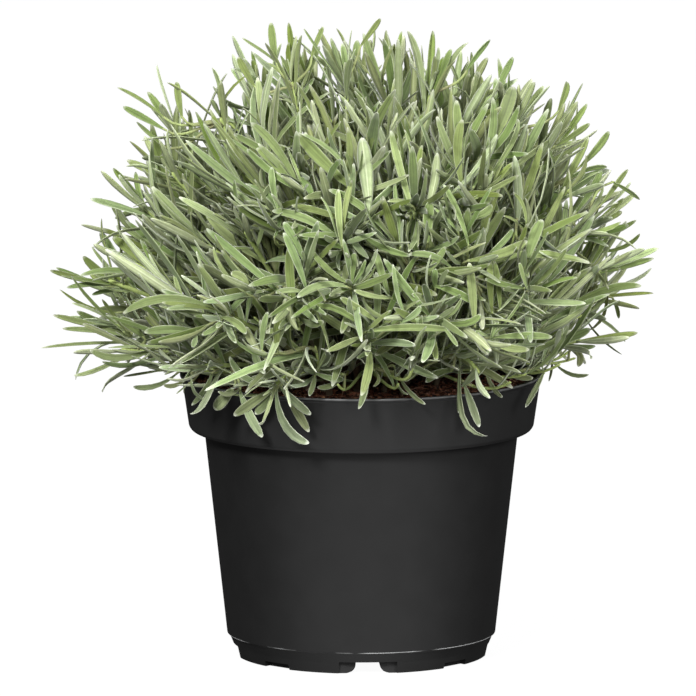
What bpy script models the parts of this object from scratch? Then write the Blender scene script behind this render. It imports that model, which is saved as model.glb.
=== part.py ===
"""A bushy English lavender without flowers, in a round black nursery pot filled with peat compost.

The pot stands on z = 0 with its axis on Z. All tables and constants are in millimetres and degrees.
Each leafy stem is one closed body: a square stem, standing in its own hole in the compost, with opposite
pairs of leaves. Every pair is turned a quarter turn from the pair below it.
"""

import math
import random

import bpy
import numpy as np
from mathutils import Quaternion, Vector

MM = 0.001
SEED = 41
UP = Vector((0.0, 0.0, 1.0))

# Pot: outside
SEGMENTS = 36
POT_HEIGHT = 149.0
LIP_RADIUS = 95.0
LIP_DEPTH = 1.6
BAND_TOP_RADIUS = 94.1
BAND_BOTTOM_RADIUS = 90.3
BAND_BOTTOM = 119.5
BAND_CORNER = 1.7
BODY_TOP_RADIUS = 82.3
BODY_BOTTOM_RADIUS = 70.4
BODY_BOTTOM = 12.0
FOOT_TOP_RADIUS = 67.4
FOOT_TOP = 8.3
FOOT_RADIUS = 65.9
FOOT_INNER_RADIUS = 50.0
# Pot: inside
WALL = 1.2
PLATE_UNDER = 6.6
PLATE_TOP = 8.1
# Foot notches and drain holes
NOTCHES = 8
FIRST_NOTCH = -87.0
NOTCH_TOP = 6.3
NOTCH_OUTER_HALF = 17.0
NOTCH_INNER_HALF_HIGH = 6.6
NOTCH_INNER_HALF_LOW = 11.4
DRAIN_HALF = (3.0, 4.0)
DRAIN_RADIUS = 57.0

# Compost
SOIL_GAP = 0.35
SOIL_EDGE = 140.8
SOIL_CROWN = 144.6
SOIL_RINGS = (0.8, 0.52, 0.26)
SOIL_ROUGHNESS = 0.9

# Leafy stems
ROOT_DEPTH = 11.0
HOLE_GAP = 0.35
STEM_HALF_LOW = 1.5
STEM_HALF_HIGH = 0.85
STEM_BARE_STATIONS = 2
FOOT_SPACING = 8.6
FOOT_SPREAD = 46.0
FOOT_JITTER = 3.0
PUSH_ROUNDS = 400
PUSH_SHARE = 0.26
CROWN = Vector((0.0, 0.0, 150.0))
TIP_CENTRE = Vector((0.0, 0.0, 145.0))
# Handles of the stem's curve, as shares of its length, and the room that its corners need
LOW_HANDLE = 0.36
HIGH_HANDLE = 0.34
STEM_ROOM = 1.35
PATH_TRIES = 60
# Distance of each leaf pair from the shoot tip, leaf length, leaf width, angle from the stem, droop
PAIRS = (
    (1.8, 31.0, 3.4, 15.0, -0.02),
    (7.0, 35.0, 4.1, 28.0, 0.05),
    (14.5, 39.0, 4.6, 41.0, 0.10),
    (25.0, 38.0, 4.6, 52.0, 0.16),
    (38.0, 35.0, 4.4, 61.0, 0.22),
)
PAIR_HALF_HEIGHT = 1.1
BUD = 3.4
BLADE_THICKNESS = 0.8
# Place along the blade, and width there as a share of the full width
BLADE_SECTIONS = ((0.36, 0.95), (0.82, 0.80))
BLADE_CLEAR = 0.5
# Room that a leaf takes along its three stretches, as shares of its width, and the share of that
# room that it keeps to its own stem's leaves
BLADE_ROOM = (0.36, 0.5, 0.4)
OWN_ROOM = 0.42
# Leaves keep above the first height, and those of the two hanging shoots above the second
LOWEST_LEAF = 142.0
LOWEST_HANGING_LEAF = 120.0
HANGING_RISE = -0.2
RIM_CLEAR = 0.6
# How far a leaf may differ from its pair's values, in degrees and as shares, and how it bends
LEAN_RANGE = 7.0
SWING_RANGE = 12.0
TWIST_RANGE = 14.0
LENGTH_RANGE = (0.88, 1.12)
WIDTH_RANGE = (0.9, 1.08)
DROOP_RANGE = (-0.05, 0.07)
BEND_BACK = 0.7
BEND_DOWN = 0.6
# Places tried for a leaf, and how much looser and shorter each next one is
SWINGS = 26
LOOSEN = 0.12
SHRINK = 0.006

# Shoot tips on the outline of the plant, seen from the front, and how much each one rises
OUTLINE_TIPS = (
    (-124, -28, 165, 0.00),
    (-127, -10, 175, 0.03),
    (-124, 32, 183, 0.22),
    (-131, -8, 198, 0.02),
    (-117, -50, 213, 0.06),
    (-120, 24, 218, 0.16),
    (-112, -22, 238, 0.15),
    (-98, -34, 258, 0.05),
    (-97, 12, 272, 0.16),
    (-73, -15, 284, 0.15),
    (-53, 18, 296, 0.08),
    (-36, -20, 304, 0.15),
    (-8, -24, 303, 0.20),
    (16, 14, 301, 0.20),
    (36, -22, 299, 0.20),
    (57, 18, 294, 0.15),
    (78, -22, 280, 0.18),
    (100, 14, 265, 0.26),
    (108, -34, 250, 0.10),
    (122, 4, 227, 0.06),
    (124, -30, 207, -0.02),
    (123, 14, 187, 0.00),
    (114, -32, 170, 0.00),
)
# Shoot tips on the side that faces the viewer; the two with a negative rise hang over the rim
FRONT_TIPS = (
    (60, -112, 166, -0.75),
    (-44, -113, 160, -0.30),
    (-80, -92, 166, 0.00),
    (-67, -106, 194, 0.10),
    (-60, -89, 235, 0.15),
    (-8, -108, 237, 0.25),
    (27, -100, 254, 0.35),
    (-31, -80, 270, 0.15),
    (-5, -121, 211, 0.05),
    (4, -126, 183, 0.00),
    (38, -119, 198, 0.10),
    (86, -88, 204, 0.15),
    (62, -84, 250, 0.20),
)
# Bearing, elevation and distance of the shoot tips at the back
BACK_TIPS = (
    (28, 12, 128, 0.05),
    (58, 8, 126, -0.02),
    (90, 14, 129, 0.02),
    (122, 8, 126, 0.00),
    (152, 14, 130, 0.05),
    (36, 37, 146, 0.15),
    (74, 36, 150, 0.12),
    (112, 38, 150, 0.12),
    (150, 40, 148, 0.15),
    (52, 60, 156, 0.18),
    (96, 58, 156, 0.15),
    (138, 62, 156, 0.18),
    (92, 80, 156, 0.10),
)

# Ends of single leaves on the outline and in front; each is given to the leaf that reaches it best
LEAF_ENDS = (
    (-141, -33, 165), (-134, -23, 158), (-160, -37, 168), (-119, -19, 146), (-124, -28, 151),
    (-158, -15, 181), (-156, -5, 173), (-149, -19, 184), (-157, 27, 189), (-151, 37, 193),
    (-135, 23, 183), (-157, -3, 200), (-154, -17, 196), (-141, 1, 190), (-139, -55, 222),
    (-145, -45, 217), (-146, -59, 208), (-147, 19, 224), (-137, 29, 219), (-136, 15, 228),
    (-132, 33, 234), (-128, -27, 239), (-126, -17, 239), (-119, -31, 240), (-118, -13, 242),
    (-123, -39, 256), (-126, -29, 257), (-122, -43, 263), (-122, -25, 264), (-114, -39, 276),
    (-114, -29, 266), (-126, 7, 297), (-125, 17, 287), (-112, 21, 294), (-107, 12, 310),
    (-96, 8, 301), (-101, -20, 304), (-75, -10, 296), (-73, -24, 305), (-90, -6, 288),
    (-70, 13, 305), (-64, 23, 312), (-67, 9, 308), (-62, 27, 321), (-57, 14, 316),
    (-47, -25, 334), (-50, -29, 326), (-39, -11, 328), (-30, -25, 333), (-20, -15, 333),
    (-31, -29, 330), (-5, -29, 333), (10, -19, 335), (-10, -15, 324), (-21, -24, 329),
    (13, 9, 328), (9, 19, 323), (22, 5, 326), (24, -27, 332), (37, -17, 331),
    (40, -31, 324), (56, 13, 321), (44, 23, 314), (47, 9, 318), (67, 27, 320),
    (66, 13, 313), (79, 23, 312), (70, 9, 303), (89, -27, 307), (95, -17, 302),
    (98, -31, 304), (99, -13, 295), (116, 19, 299), (113, 5, 291), (119, -39, 286),
    (118, -29, 277), (129, -43, 282), (112, -25, 274), (119, -34, 269), (128, -39, 263),
    (139, -25, 260), (146, -1, 233), (141, 9, 248), (146, -5, 241), (139, 13, 227),
    (146, -35, 227), (142, -25, 213), (153, -39, 214), (129, -21, 218), (146, 9, 194),
    (135, 19, 194), (135, 5, 177), (118, -37, 179), (122, -27, 167), (129, -41, 193),
    (135, -37, 163), (118, -27, 151), (61, -117, 138), (63, -107, 132), (72, -121, 155),
    (-51, -118, 132), (-28, -122, 145), (-28, -110, 136), (-52, -113, 193), (-42, -117, 167),
    (-77, -97, 147), (-86, -87, 147), (-65, -105, 145), (-95, -83, 152), (-103, -101, 207),
    (-82, -97, 220), (-94, -94, 254), (-66, -98, 286), (-32, -113, 249), (-22, -103, 253),
    (-11, -117, 257), (-6, -99, 260), (18, -105, 295), (31, -109, 283), (23, -91, 272),
    (-32, -126, 206), (-16, -116, 228), (7, -130, 222), (-22, -131, 199), (12, -121, 194),
    (46, -135, 191), (7, -117, 175), (10, -124, 227), (7, -114, 230), (20, -128, 222),
    (113, -93, 233), (67, -83, 207), (101, -97, 220), (83, -79, 220), (67, -89, 288),
    (73, -79, 262), (86, -117, 181), (96, -107, 184), (75, -121, 197), (-63, -85, 284),
    (-58, -75, 291),
)
# Least and greatest length of such a leaf as a share of its pair's length, its greatest angle from the
# stem and to either side, and how many leaves, and places of each, are tried
END_LENGTHS = (0.68, 1.38)
END_LEAN = 76.0
END_SWING = 42.0
END_CHOICES = 16
END_TRIES = 5
# How a leaf is chosen: what stretching it and a degree of turning it count for
STRETCH_COST = 2.5
TURN_COST = 0.033

POT_COLOUR = (0.016, 0.017, 0.017)
SOIL_COLOUR = (0.022, 0.012, 0.008)
LEAF_COLOURS = ((0.26, 0.33, 0.17), (0.30, 0.38, 0.20), (0.24, 0.31, 0.18))


def clear_scene():
    for obj in list(bpy.data.objects):
        bpy.data.objects.remove(obj, do_unlink=True)


def material(name, colour, roughness):
    made = bpy.data.materials.new(name)
    made.use_nodes = True
    shader = made.node_tree.nodes["Principled BSDF"]
    shader.inputs["Base Color"].default_value = (*colour, 1.0)
    shader.inputs["Roughness"].default_value = roughness
    made.diffuse_color = (*colour, 1.0)
    return made


def body(name, points, faces, surface=None, smooth=False):
    """Makes a mesh object from points in millimetres."""
    mesh = bpy.data.meshes.new(name)
    mesh.from_pydata([tuple(c * MM for c in p) for p in points], [], faces)
    mesh.validate()
    for face in mesh.polygons:
        face.use_smooth = smooth
    if surface:
        mesh.materials.append(surface)
    obj = bpy.data.objects.new(name, mesh)
    bpy.context.scene.collection.objects.link(obj)
    return obj


def cut(target, cutters):
    """Takes the cutters, which don't touch one another, out of the target."""
    group = bpy.data.collections.new("cutters")
    bpy.context.scene.collection.children.link(group)
    for cutter in cutters:
        bpy.context.scene.collection.objects.unlink(cutter)
        group.objects.link(cutter)
    modifier = target.modifiers.new("cut", "BOOLEAN")
    modifier.operation = "DIFFERENCE"
    modifier.operand_type = "COLLECTION"
    modifier.collection = group
    modifier.solver = "EXACT"
    graph = bpy.context.evaluated_depsgraph_get()
    carved = bpy.data.meshes.new_from_object(target.evaluated_get(graph))
    target.modifiers.clear()
    target.data = carved
    for cutter in cutters:
        bpy.data.objects.remove(cutter, do_unlink=True)
    bpy.data.collections.remove(group)


def revolved(profile):
    """Turns a profile that starts and ends on the axis, given bottom centre first and top centre last."""
    points = [(0.0, 0.0, profile[0][1])]
    faces = []
    rings = profile[1:-1]
    for radius, height in rings:
        for i in range(SEGMENTS):
            turn = 2 * math.pi * (i + 0.5) / SEGMENTS
            points.append((radius * math.cos(turn), radius * math.sin(turn), height))
    points.append((0.0, 0.0, profile[-1][1]))
    last = len(points) - 1
    for i in range(SEGMENTS):
        j = (i + 1) % SEGMENTS
        faces.append((0, 1 + j, 1 + i))
        for ring in range(len(rings) - 1):
            low, high = 1 + ring * SEGMENTS, 1 + (ring + 1) * SEGMENTS
            faces.append((low + i, low + j, high + j, high + i))
        top = 1 + (len(rings) - 1) * SEGMENTS
        faces.append((top + i, top + j, last))
    return points, faces


def pot_profile():
    """The pot's section, from the axis under the base plate, up the outside and down the inside."""
    lean = (BODY_TOP_RADIUS - BODY_BOTTOM_RADIUS) / (BAND_BOTTOM - BODY_BOTTOM)
    return (
        (0.0, PLATE_UNDER),
        (FOOT_INNER_RADIUS, PLATE_UNDER),
        (FOOT_INNER_RADIUS, 0.0),
        (FOOT_RADIUS, 0.0),
        (FOOT_TOP_RADIUS, FOOT_TOP),
        (BODY_BOTTOM_RADIUS, BODY_BOTTOM),
        (BODY_TOP_RADIUS, BAND_BOTTOM),
        (BAND_BOTTOM_RADIUS - BAND_CORNER, BAND_BOTTOM),
        (BAND_BOTTOM_RADIUS, BAND_BOTTOM + BAND_CORNER),
        (BAND_TOP_RADIUS, POT_HEIGHT - LIP_DEPTH - 0.6),
        (LIP_RADIUS, POT_HEIGHT - LIP_DEPTH),
        (LIP_RADIUS, POT_HEIGHT - 0.3),
        (LIP_RADIUS - 0.4, POT_HEIGHT),
        (LIP_RADIUS - 1.9, POT_HEIGHT),
        (BAND_BOTTOM_RADIUS - WALL, BAND_BOTTOM + BAND_CORNER + 0.8),
        (BAND_BOTTOM_RADIUS - BAND_CORNER - WALL, BAND_BOTTOM + WALL),
        (BODY_TOP_RADIUS - WALL, BAND_BOTTOM + WALL),
        (BODY_TOP_RADIUS - WALL - 2.0 * lean, BAND_BOTTOM - 2.0),
        (BODY_BOTTOM_RADIUS - WALL, BODY_BOTTOM + 0.6),
        (FOOT_TOP_RADIUS - WALL, PLATE_TOP),
        (0.0, PLATE_TOP),
    )


def at_bearing(degrees, outward, sideways, height):
    turn = math.radians(degrees)
    c, s = math.cos(turn), math.sin(turn)
    return (outward * c - sideways * s, outward * s + sideways * c, height)


BOX_FACES = (
    (0, 3, 2, 1),
    (4, 5, 6, 7),
    (0, 1, 5, 4),
    (1, 2, 6, 5),
    (2, 3, 7, 6),
    (3, 0, 4, 7),
)


def notch_cutter(bearing):
    """A channel through the foot ring that narrows inwards, with leaning sides."""
    inner, outer = FOOT_INNER_RADIUS - 2.0, FOOT_TOP_RADIUS + 6.0
    low, high = -2.0, NOTCH_TOP
    corners = [
        at_bearing(bearing, outer, -NOTCH_OUTER_HALF, low),
        at_bearing(bearing, outer, NOTCH_OUTER_HALF, low),
        at_bearing(bearing, inner, NOTCH_INNER_HALF_LOW, low),
        at_bearing(bearing, inner, -NOTCH_INNER_HALF_LOW, low),
        at_bearing(bearing, outer, -NOTCH_OUTER_HALF + 0.6, high),
        at_bearing(bearing, outer, NOTCH_OUTER_HALF - 0.6, high),
        at_bearing(bearing, inner, NOTCH_INNER_HALF_HIGH, high),
        at_bearing(bearing, inner, -NOTCH_INNER_HALF_HIGH, high),
    ]
    return body("notch", corners, BOX_FACES)


def drain_cutter(bearing):
    near, far = DRAIN_RADIUS - DRAIN_HALF[0], DRAIN_RADIUS + DRAIN_HALF[0]
    side = DRAIN_HALF[1]
    corners = [
        at_bearing(bearing, outward, sideways, height)
        for height in (PLATE_UNDER - 3.0, PLATE_TOP + 3.0)
        for outward, sideways in ((near, -side), (far, -side), (far, side), (near, side))
    ]
    return body("drain", corners, BOX_FACES)


def build_pot():
    points, faces = revolved(pot_profile())
    pot = body("pot", points, faces, material("black polypropylene", POT_COLOUR, 0.42))
    bearings = [FIRST_NOTCH + 360.0 * i / NOTCHES for i in range(NOTCHES)]
    cut(pot, [notch_cutter(b) for b in bearings])
    cut(pot, [drain_cutter(b) for b in bearings])
    for face in pot.data.polygons:
        face.use_smooth = abs(face.normal.z) < 0.5
    return pot


def soil_height(distance):
    share = min(1.0, distance / BAND_BOTTOM_RADIUS)
    return SOIL_CROWN - (SOIL_CROWN - SOIL_EDGE) * share * share


def inner_radius(height):
    """Radius of the rim band's inner face at this height."""
    low, high = BAND_BOTTOM + BAND_CORNER + 0.8, POT_HEIGHT
    share = (height - low) / (high - low)
    low_radius = BAND_BOTTOM_RADIUS - WALL
    return low_radius + (LIP_RADIUS - 1.9 - low_radius) * share


def build_soil(stems):
    """One block of compost with a rough mounded top and a square hole for each stem."""
    source = random.Random(SEED + 1)
    lean = (BODY_TOP_RADIUS - BODY_BOTTOM_RADIUS) / (BAND_BOTTOM - BODY_BOTTOM)
    edge = inner_radius(SOIL_EDGE) - SOIL_GAP
    profile = [
        (0.0, PLATE_TOP + SOIL_GAP),
        (FOOT_TOP_RADIUS - WALL - SOIL_GAP, PLATE_TOP + SOIL_GAP),
        (BODY_BOTTOM_RADIUS - WALL - SOIL_GAP, BODY_BOTTOM + 0.8),
        (BODY_TOP_RADIUS - WALL - SOIL_GAP - 2.0 * lean, BAND_BOTTOM - 2.0),
        (BODY_TOP_RADIUS - WALL - SOIL_GAP, BAND_BOTTOM + WALL + SOIL_GAP),
        (BAND_BOTTOM_RADIUS - BAND_CORNER - WALL - SOIL_GAP, BAND_BOTTOM + WALL + SOIL_GAP),
        (BAND_BOTTOM_RADIUS - WALL - SOIL_GAP, BAND_BOTTOM + BAND_CORNER + 1.0),
        (edge, SOIL_EDGE),
    ]
    profile += [(edge * share, soil_height(edge * share)) for share in SOIL_RINGS]
    profile.append((0.0, SOIL_CROWN))
    points, faces = revolved(profile)
    for i, (x, y, z) in enumerate(points):
        if z > SOIL_EDGE:
            points[i] = (x, y, z + source.uniform(-SOIL_ROUGHNESS, SOIL_ROUGHNESS))
    soil = body("soil", points, faces, material("peat compost", SOIL_COLOUR, 0.95))
    holes = []
    for stem in stems:
        half = STEM_HALF_LOW + HOLE_GAP
        foot = stem["foot"]
        bottom = foot.z - ROOT_DEPTH - HOLE_GAP
        top = foot.z + 6.0
        side, across = stem["side"] * half, stem["across"] * half
        corners = []
        for height in (bottom, top):
            centre = Vector((foot.x, foot.y, height))
            for a, b in ((-1, -1), (1, -1), (1, 1), (-1, 1)):
                corners.append(tuple(centre + side * a + across * b))
        holes.append(body("hole", corners, BOX_FACES))
    cut(soil, holes)
    return soil


def shoot_tips():
    """Where each shoot ends, and how much its end rises above the line from the crown."""
    tips = [(Vector((x, y, z)), rise) for x, y, z, rise in OUTLINE_TIPS + FRONT_TIPS]
    for bearing, elevation, distance, rise in BACK_TIPS:
        turn, climb = math.radians(bearing), math.radians(elevation)
        flat = math.cos(climb) * distance
        offset = (flat * math.cos(turn), flat * math.sin(turn), math.sin(climb) * distance)
        tips.append((TIP_CENTRE + Vector(offset), rise))
    return tips


def stem_feet(tips, source):
    """Spreads the stems' feet over the crown, the lower shoots further out, then pushes them apart."""
    feet = []
    for tip, _ in tips:
        away = tip - CROWN
        flat = math.hypot(away.x, away.y)
        climb = math.degrees(math.atan2(away.z, flat))
        reach = FOOT_SPREAD * (1.0 - max(0.0, climb) / 95.0) + source.uniform(-FOOT_JITTER, FOOT_JITTER)
        feet.append(np.array((away.x, away.y)) / flat * max(4.0, reach))
    for _ in range(PUSH_ROUNDS):
        for i, first in enumerate(feet):
            for second in feet[i + 1 :]:
                gap = first - second
                length = max(1e-6, float(np.hypot(*gap)))
                if length < FOOT_SPACING:
                    push = gap / length * (FOOT_SPACING - length) * PUSH_SHARE
                    first += push
                    second -= push
    return feet


def path_points(foot, tip, heading, lean, count=40):
    """A stem's centre line: straight up out of its hole, then a curve to the shoot tip."""
    start = foot + UP * 2.0
    length = (tip - start).length
    outward = Vector((tip.x - foot.x, tip.y - foot.y, 0.0))
    first = start + (UP * lean + outward.normalized() * (1.0 - lean)) * length * LOW_HANDLE
    second = tip - heading * length * HIGH_HANDLE
    line = [foot - UP * ROOT_DEPTH, foot]
    for i in range(count + 1):
        t = i / count
        u = 1.0 - t
        line.append(start * u**3 + first * 3 * u * u * t + second * 3 * u * t * t + tip * t**3)
    return line


def closest(first, last, starts, ends):
    """Least distance from one straight piece to each of many."""
    along, others, between = last - first, ends - starts, first - starts
    a, e = along @ along, (others * others).sum(1)
    f, c, b = (others * between).sum(1), between @ along, others @ along
    spread = a * e - b * b
    s = np.where(spread > 1e-9, np.clip((b * f - c * e) / np.maximum(spread, 1e-9), 0, 1), 0.0)
    t = np.clip((b * s + f) / e, 0, 1)
    s = np.clip((b * t - c) / a, 0, 1)
    apart = between + s[:, None] * along - t[:, None] * others
    return np.sqrt((apart * apart).sum(1))


class Taken:
    """The room that stems and leaves already take, as round-ended rods."""

    def __init__(self):
        self.starts, self.ends = np.zeros((0, 3)), np.zeros((0, 3))
        self.radii, self.owners = np.zeros(0), np.zeros(0, int)

    def add(self, rods, owner):
        self.starts = np.vstack([self.starts, [r[0] for r in rods]])
        self.ends = np.vstack([self.ends, [r[1] for r in rods]])
        self.radii = np.append(self.radii, [r[2] for r in rods])
        self.owners = np.append(self.owners, [owner] * len(rods))

    def clear(self, rods, owner, own_share):
        """True where the rods miss all others; its own stem's rods count as thinner."""
        if not len(self.starts):
            return True
        own = self.owners == owner
        for index, (first, last, radius) in enumerate(rods):
            gaps = closest(np.array(first), np.array(last), self.starts, self.ends)
            need = self.radii + radius + BLADE_CLEAR
            need = np.where(own, need * (own_share if index else 0.0), need)
            if (gaps < need).any():
                return False
        return True


def off_pot(point, radius):
    """True where a round body at this point misses the pot and the compost."""
    distance = math.hypot(point[0], point[1])
    if point[2] > POT_HEIGHT + radius + RIM_CLEAR:
        return True
    if distance > LIP_RADIUS + radius + RIM_CLEAR:
        return True
    inside = distance < BAND_TOP_RADIUS - 4.0 - radius
    return inside and point[2] > soil_height(distance) + radius + SOIL_ROUGHNESS + SOIL_GAP


def rods_off_pot(rods, lowest=LOWEST_HANGING_LEAF):
    for first, last, radius in rods:
        for share in (0.25, 0.5, 0.75, 1.0):
            point = [a + (b - a) * share for a, b in zip(first, last)]
            if point[2] < lowest or not off_pot(point, radius):
                return False
    return True


def stem_rods(line):
    rods = []
    picked = line[1::5] + ([line[-1]] if (len(line) - 2) % 5 else [])
    for i in range(len(picked) - 1):
        share = i / max(1, len(picked) - 2)
        radius = STEM_ROOM * (STEM_HALF_LOW * (1 - share) + STEM_HALF_HIGH * share)
        rods.append((tuple(picked[i]), tuple(picked[i + 1]), radius))
    return rods


def along(line, distance):
    """Point and direction at this distance back from the line's end."""
    left = distance
    for i in range(len(line) - 1, 0, -1):
        piece = line[i] - line[i - 1]
        if left <= piece.length:
            return line[i] - piece.normalized() * left, piece.normalized()
        left -= piece.length
    return line[0].copy(), UP.copy()


def line_length(line):
    return sum((b - a).length for a, b in zip(line, line[1:]))


def plan_stems(source, taken):
    tips = shoot_tips()
    feet = stem_feet(tips, source)
    stems = []
    for number, ((tip, rise), foot_at) in enumerate(zip(tips, feet)):
        distance = float(np.hypot(*foot_at))
        foot = Vector((float(foot_at[0]), float(foot_at[1]), soil_height(distance)))
        heading = ((tip - CROWN).normalized() + UP * rise).normalized()
        line, rods = None, []
        for attempt in range(PATH_TRIES):
            lean = min(0.95, 0.62 + 0.006 * attempt + source.uniform(-0.08, 0.08))
            turned = heading + Vector([source.uniform(-1, 1) for _ in range(3)]) * 0.006 * attempt
            line = path_points(foot, tip, turned.normalized(), lean)
            rods = stem_rods(line)
            if taken.clear(rods, number, 0.0) and rods_off_pot(rods[1:]):
                break
        else:
            print("stem", number, "found no clear path")
        taken.add(rods, number)
        roll = source.uniform(0.0, math.pi / 2)
        side = Vector((math.cos(roll), math.sin(roll), 0.0))
        lowest = LOWEST_HANGING_LEAF if rise < HANGING_RISE else LOWEST_LEAF
        stem = {"foot": foot, "line": line, "side": side, "across": UP.cross(side)}
        stems.append(stem | {"lowest": lowest, "leaves": {}})
    return stems


def carried(side, old, new):
    """Carries a side direction along the stem without twisting it."""
    turn = old.rotation_difference(new)
    moved = turn @ side
    return (moved - new * moved.dot(new)).normalized()


def stem_stations(stem):
    """Rings up the stem as (centre, side, across, half width, pair under way or None)."""
    line = stem["line"]
    total = line_length(line)
    marks = [(total, None), (total - ROOT_DEPTH, None)]
    lowest = PAIRS[-1][0] + PAIR_HALF_HEIGHT
    bare = total - ROOT_DEPTH - lowest
    marks += [
        (lowest + bare * (1.0 - (i + 1) / (STEM_BARE_STATIONS + 1)), None) for i in range(STEM_BARE_STATIONS)
    ]
    for index in range(len(PAIRS) - 1, -1, -1):
        marks.append((PAIRS[index][0] + PAIR_HALF_HEIGHT, index))
        marks.append((PAIRS[index][0] - PAIR_HALF_HEIGHT, None))
    stations, side, old = [], stem["side"], UP
    for back, pair in marks:
        centre, direction = along(line, back)
        side = carried(side, old, direction)
        old = direction
        share = min(1.0, (total - back) / total)
        half = STEM_HALF_LOW * (1 - share) + STEM_HALF_HIGH * share
        stations.append((centre, side, direction.cross(side).normalized(), half, pair))
    return stations


def blade_shape(root, outward, axis, wide, spec, source, attempt):
    """A leaf's centre line and cross directions, from the middle of its root."""
    _, length, width, angle, droop = spec
    loose = 1.0 + LOOSEN * attempt
    lean = math.radians(angle + source.uniform(-LEAN_RANGE, LEAN_RANGE) * loose)
    swing = math.radians(source.uniform(-SWING_RANGE, SWING_RANGE) * loose)
    twist = math.radians(source.uniform(-TWIST_RANGE, TWIST_RANGE) * loose)
    long = length * source.uniform(*LENGTH_RANGE) * (1.0 - SHRINK * attempt)
    start = (axis * math.cos(lean) + outward * math.sin(lean)).normalized()
    start = Quaternion(axis, swing) @ start
    flat, upper = blade_sides(start, axis, wide, twist)
    bend = sag(upper, droop + source.uniform(*DROOP_RANGE)) * long
    return blade_of(root, start * long, bend, flat, upper, width * source.uniform(*WIDTH_RANGE))


def sag(upper, share):
    """How a leaf bends, away from its upper side and down."""
    return (upper * BEND_BACK + UP * BEND_DOWN) * -share


def blade_sides(start, axis, wide, twist):
    """The directions across a leaf and out of its upper side."""
    flat = (wide - start * wide.dot(start)).normalized()
    upper = flat.cross(start).normalized()
    if upper.dot(axis) < 0:
        upper = -upper
    turn = Quaternion(start, twist)
    return turn @ flat, turn @ upper


def blade_of(root, lead, bend, flat, upper, width):
    points = [root + lead * u + bend * (u * u) for u in [s for s, _ in BLADE_SECTIONS] + [1.0]]
    return {"points": points, "flat": flat, "upper": upper, "width": width}


def aimed_blade(root, end, axis, wide, spec, source):
    """A leaf that ends at a given point."""
    _, _, width, _, droop = spec
    chord = end - root
    twist = math.radians(source.uniform(-TWIST_RANGE, TWIST_RANGE))
    flat, upper = blade_sides(chord.normalized(), axis, wide, twist)
    bend = sag(upper, droop + source.uniform(*DROOP_RANGE)) * chord.length
    return blade_of(root, chord - bend, bend, flat, upper, width * source.uniform(*WIDTH_RANGE))


def blade_rods(root, blade):
    radii = [blade["width"] * share for share in BLADE_ROOM]
    ends = [root] + blade["points"]
    return [(tuple(ends[i]), tuple(ends[i + 1]), radii[i]) for i in range(3)]


def root_of(low, high, face):
    """Middle, outward direction and cross direction of one side of a ring pair."""
    centre = (low[0] + high[0]) * 0.5
    side, across, half = low[1], low[2], (low[3] + high[3]) * 0.5
    outward = (across * -1, side, across, side * -1)[face]
    wide = (side, across, side * -1, across * -1)[face]
    return centre + outward * half, outward, wide, (high[0] - low[0]).normalized()


def leaf_roots(stem):
    """Where each leaf of a stem starts, by pair and face."""
    roots = {}
    for index, station in enumerate(stem["stations"]):
        pair = station[4]
        if pair is not None:
            for face in (0, 2) if pair % 2 else (1, 3):
                roots[(pair, face)] = root_of(station, stem["stations"][index + 1], face)
    return roots


def end_cost(root, end, spec):
    """How badly a leaf of this pair would have to stretch and turn to reach the point, or None."""
    middle, outward, _, axis = root
    chord = end - middle
    share = chord.length / spec[1]
    lean = math.degrees(chord.angle(axis))
    flat = chord - axis * chord.dot(axis)
    swing = math.degrees(flat.angle(outward))
    if not END_LENGTHS[0] < share < END_LENGTHS[1] or lean > END_LEAN or swing > END_SWING:
        return None
    return abs(math.log(share)) * STRETCH_COST + (abs(lean - spec[3]) + swing) * TURN_COST


def reach_end(stem, number, slot, end, source, taken):
    """Tries to give the stem a leaf, at this pair and face, that ends at the point."""
    pair, face = slot
    root, _, wide, axis = stem["roots"][(pair, face)]
    for _ in range(END_TRIES):
        blade = aimed_blade(root, end, axis, wide, PAIRS[pair], source)
        if settle(stem, number, (pair, face), root, blade, taken):
            return True
    return False


def settle(stem, number, slot, root, blade, taken):
    """Keeps the leaf where it has room."""
    rods = blade_rods(root, blade)
    if not (taken.clear(rods, number, OWN_ROOM) and rods_off_pot(rods, stem["lowest"])):
        return False
    taken.add(rods, number)
    stem["leaves"][slot] = blade
    return True


def aim_leaves(stems, source, taken):
    """Gives the points in the table to the leaves that reach them best and have room."""
    reached = 0
    for point in LEAF_ENDS:
        end = Vector(point)
        costs = []
        for number, stem in enumerate(stems):
            for (pair, face), root in stem["roots"].items():
                cost = None if (pair, face) in stem["leaves"] else end_cost(root, end, PAIRS[pair])
                if cost is not None:
                    costs.append((cost, number, pair, face))
        choices = (choice[1:] for choice in sorted(costs)[:END_CHOICES])
        reached += any(
            reach_end(stems[number], number, slot, end, source, taken) for number, *slot in choices
        )
    print("leaf ends reached:", reached, "of", len(LEAF_ENDS))


def plan_leaves(stems, source, taken):
    """Finds each other leaf a clear place, the youngest first, and leaves out those that find none."""
    missing = 0
    for pair in range(len(PAIRS)):
        for number, stem in enumerate(stems):
            for face in (0, 2) if pair % 2 else (1, 3):
                if (pair, face) in stem["leaves"]:
                    continue
                root, outward, wide, axis = stem["roots"][(pair, face)]
                for attempt in range(SWINGS):
                    blade = blade_shape(root, outward, axis, wide, PAIRS[pair], source, attempt)
                    if settle(stem, number, (pair, face), root, blade, taken):
                        break
                else:
                    missing += 1
    print("leaves left out:", missing)


def ring_corners(station):
    centre, side, across, half, _ = station
    signs = ((-1, -1), (1, -1), (1, 1), (-1, 1))
    return [centre + side * (a * half) + across * (b * half) for a, b in signs]


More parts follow.
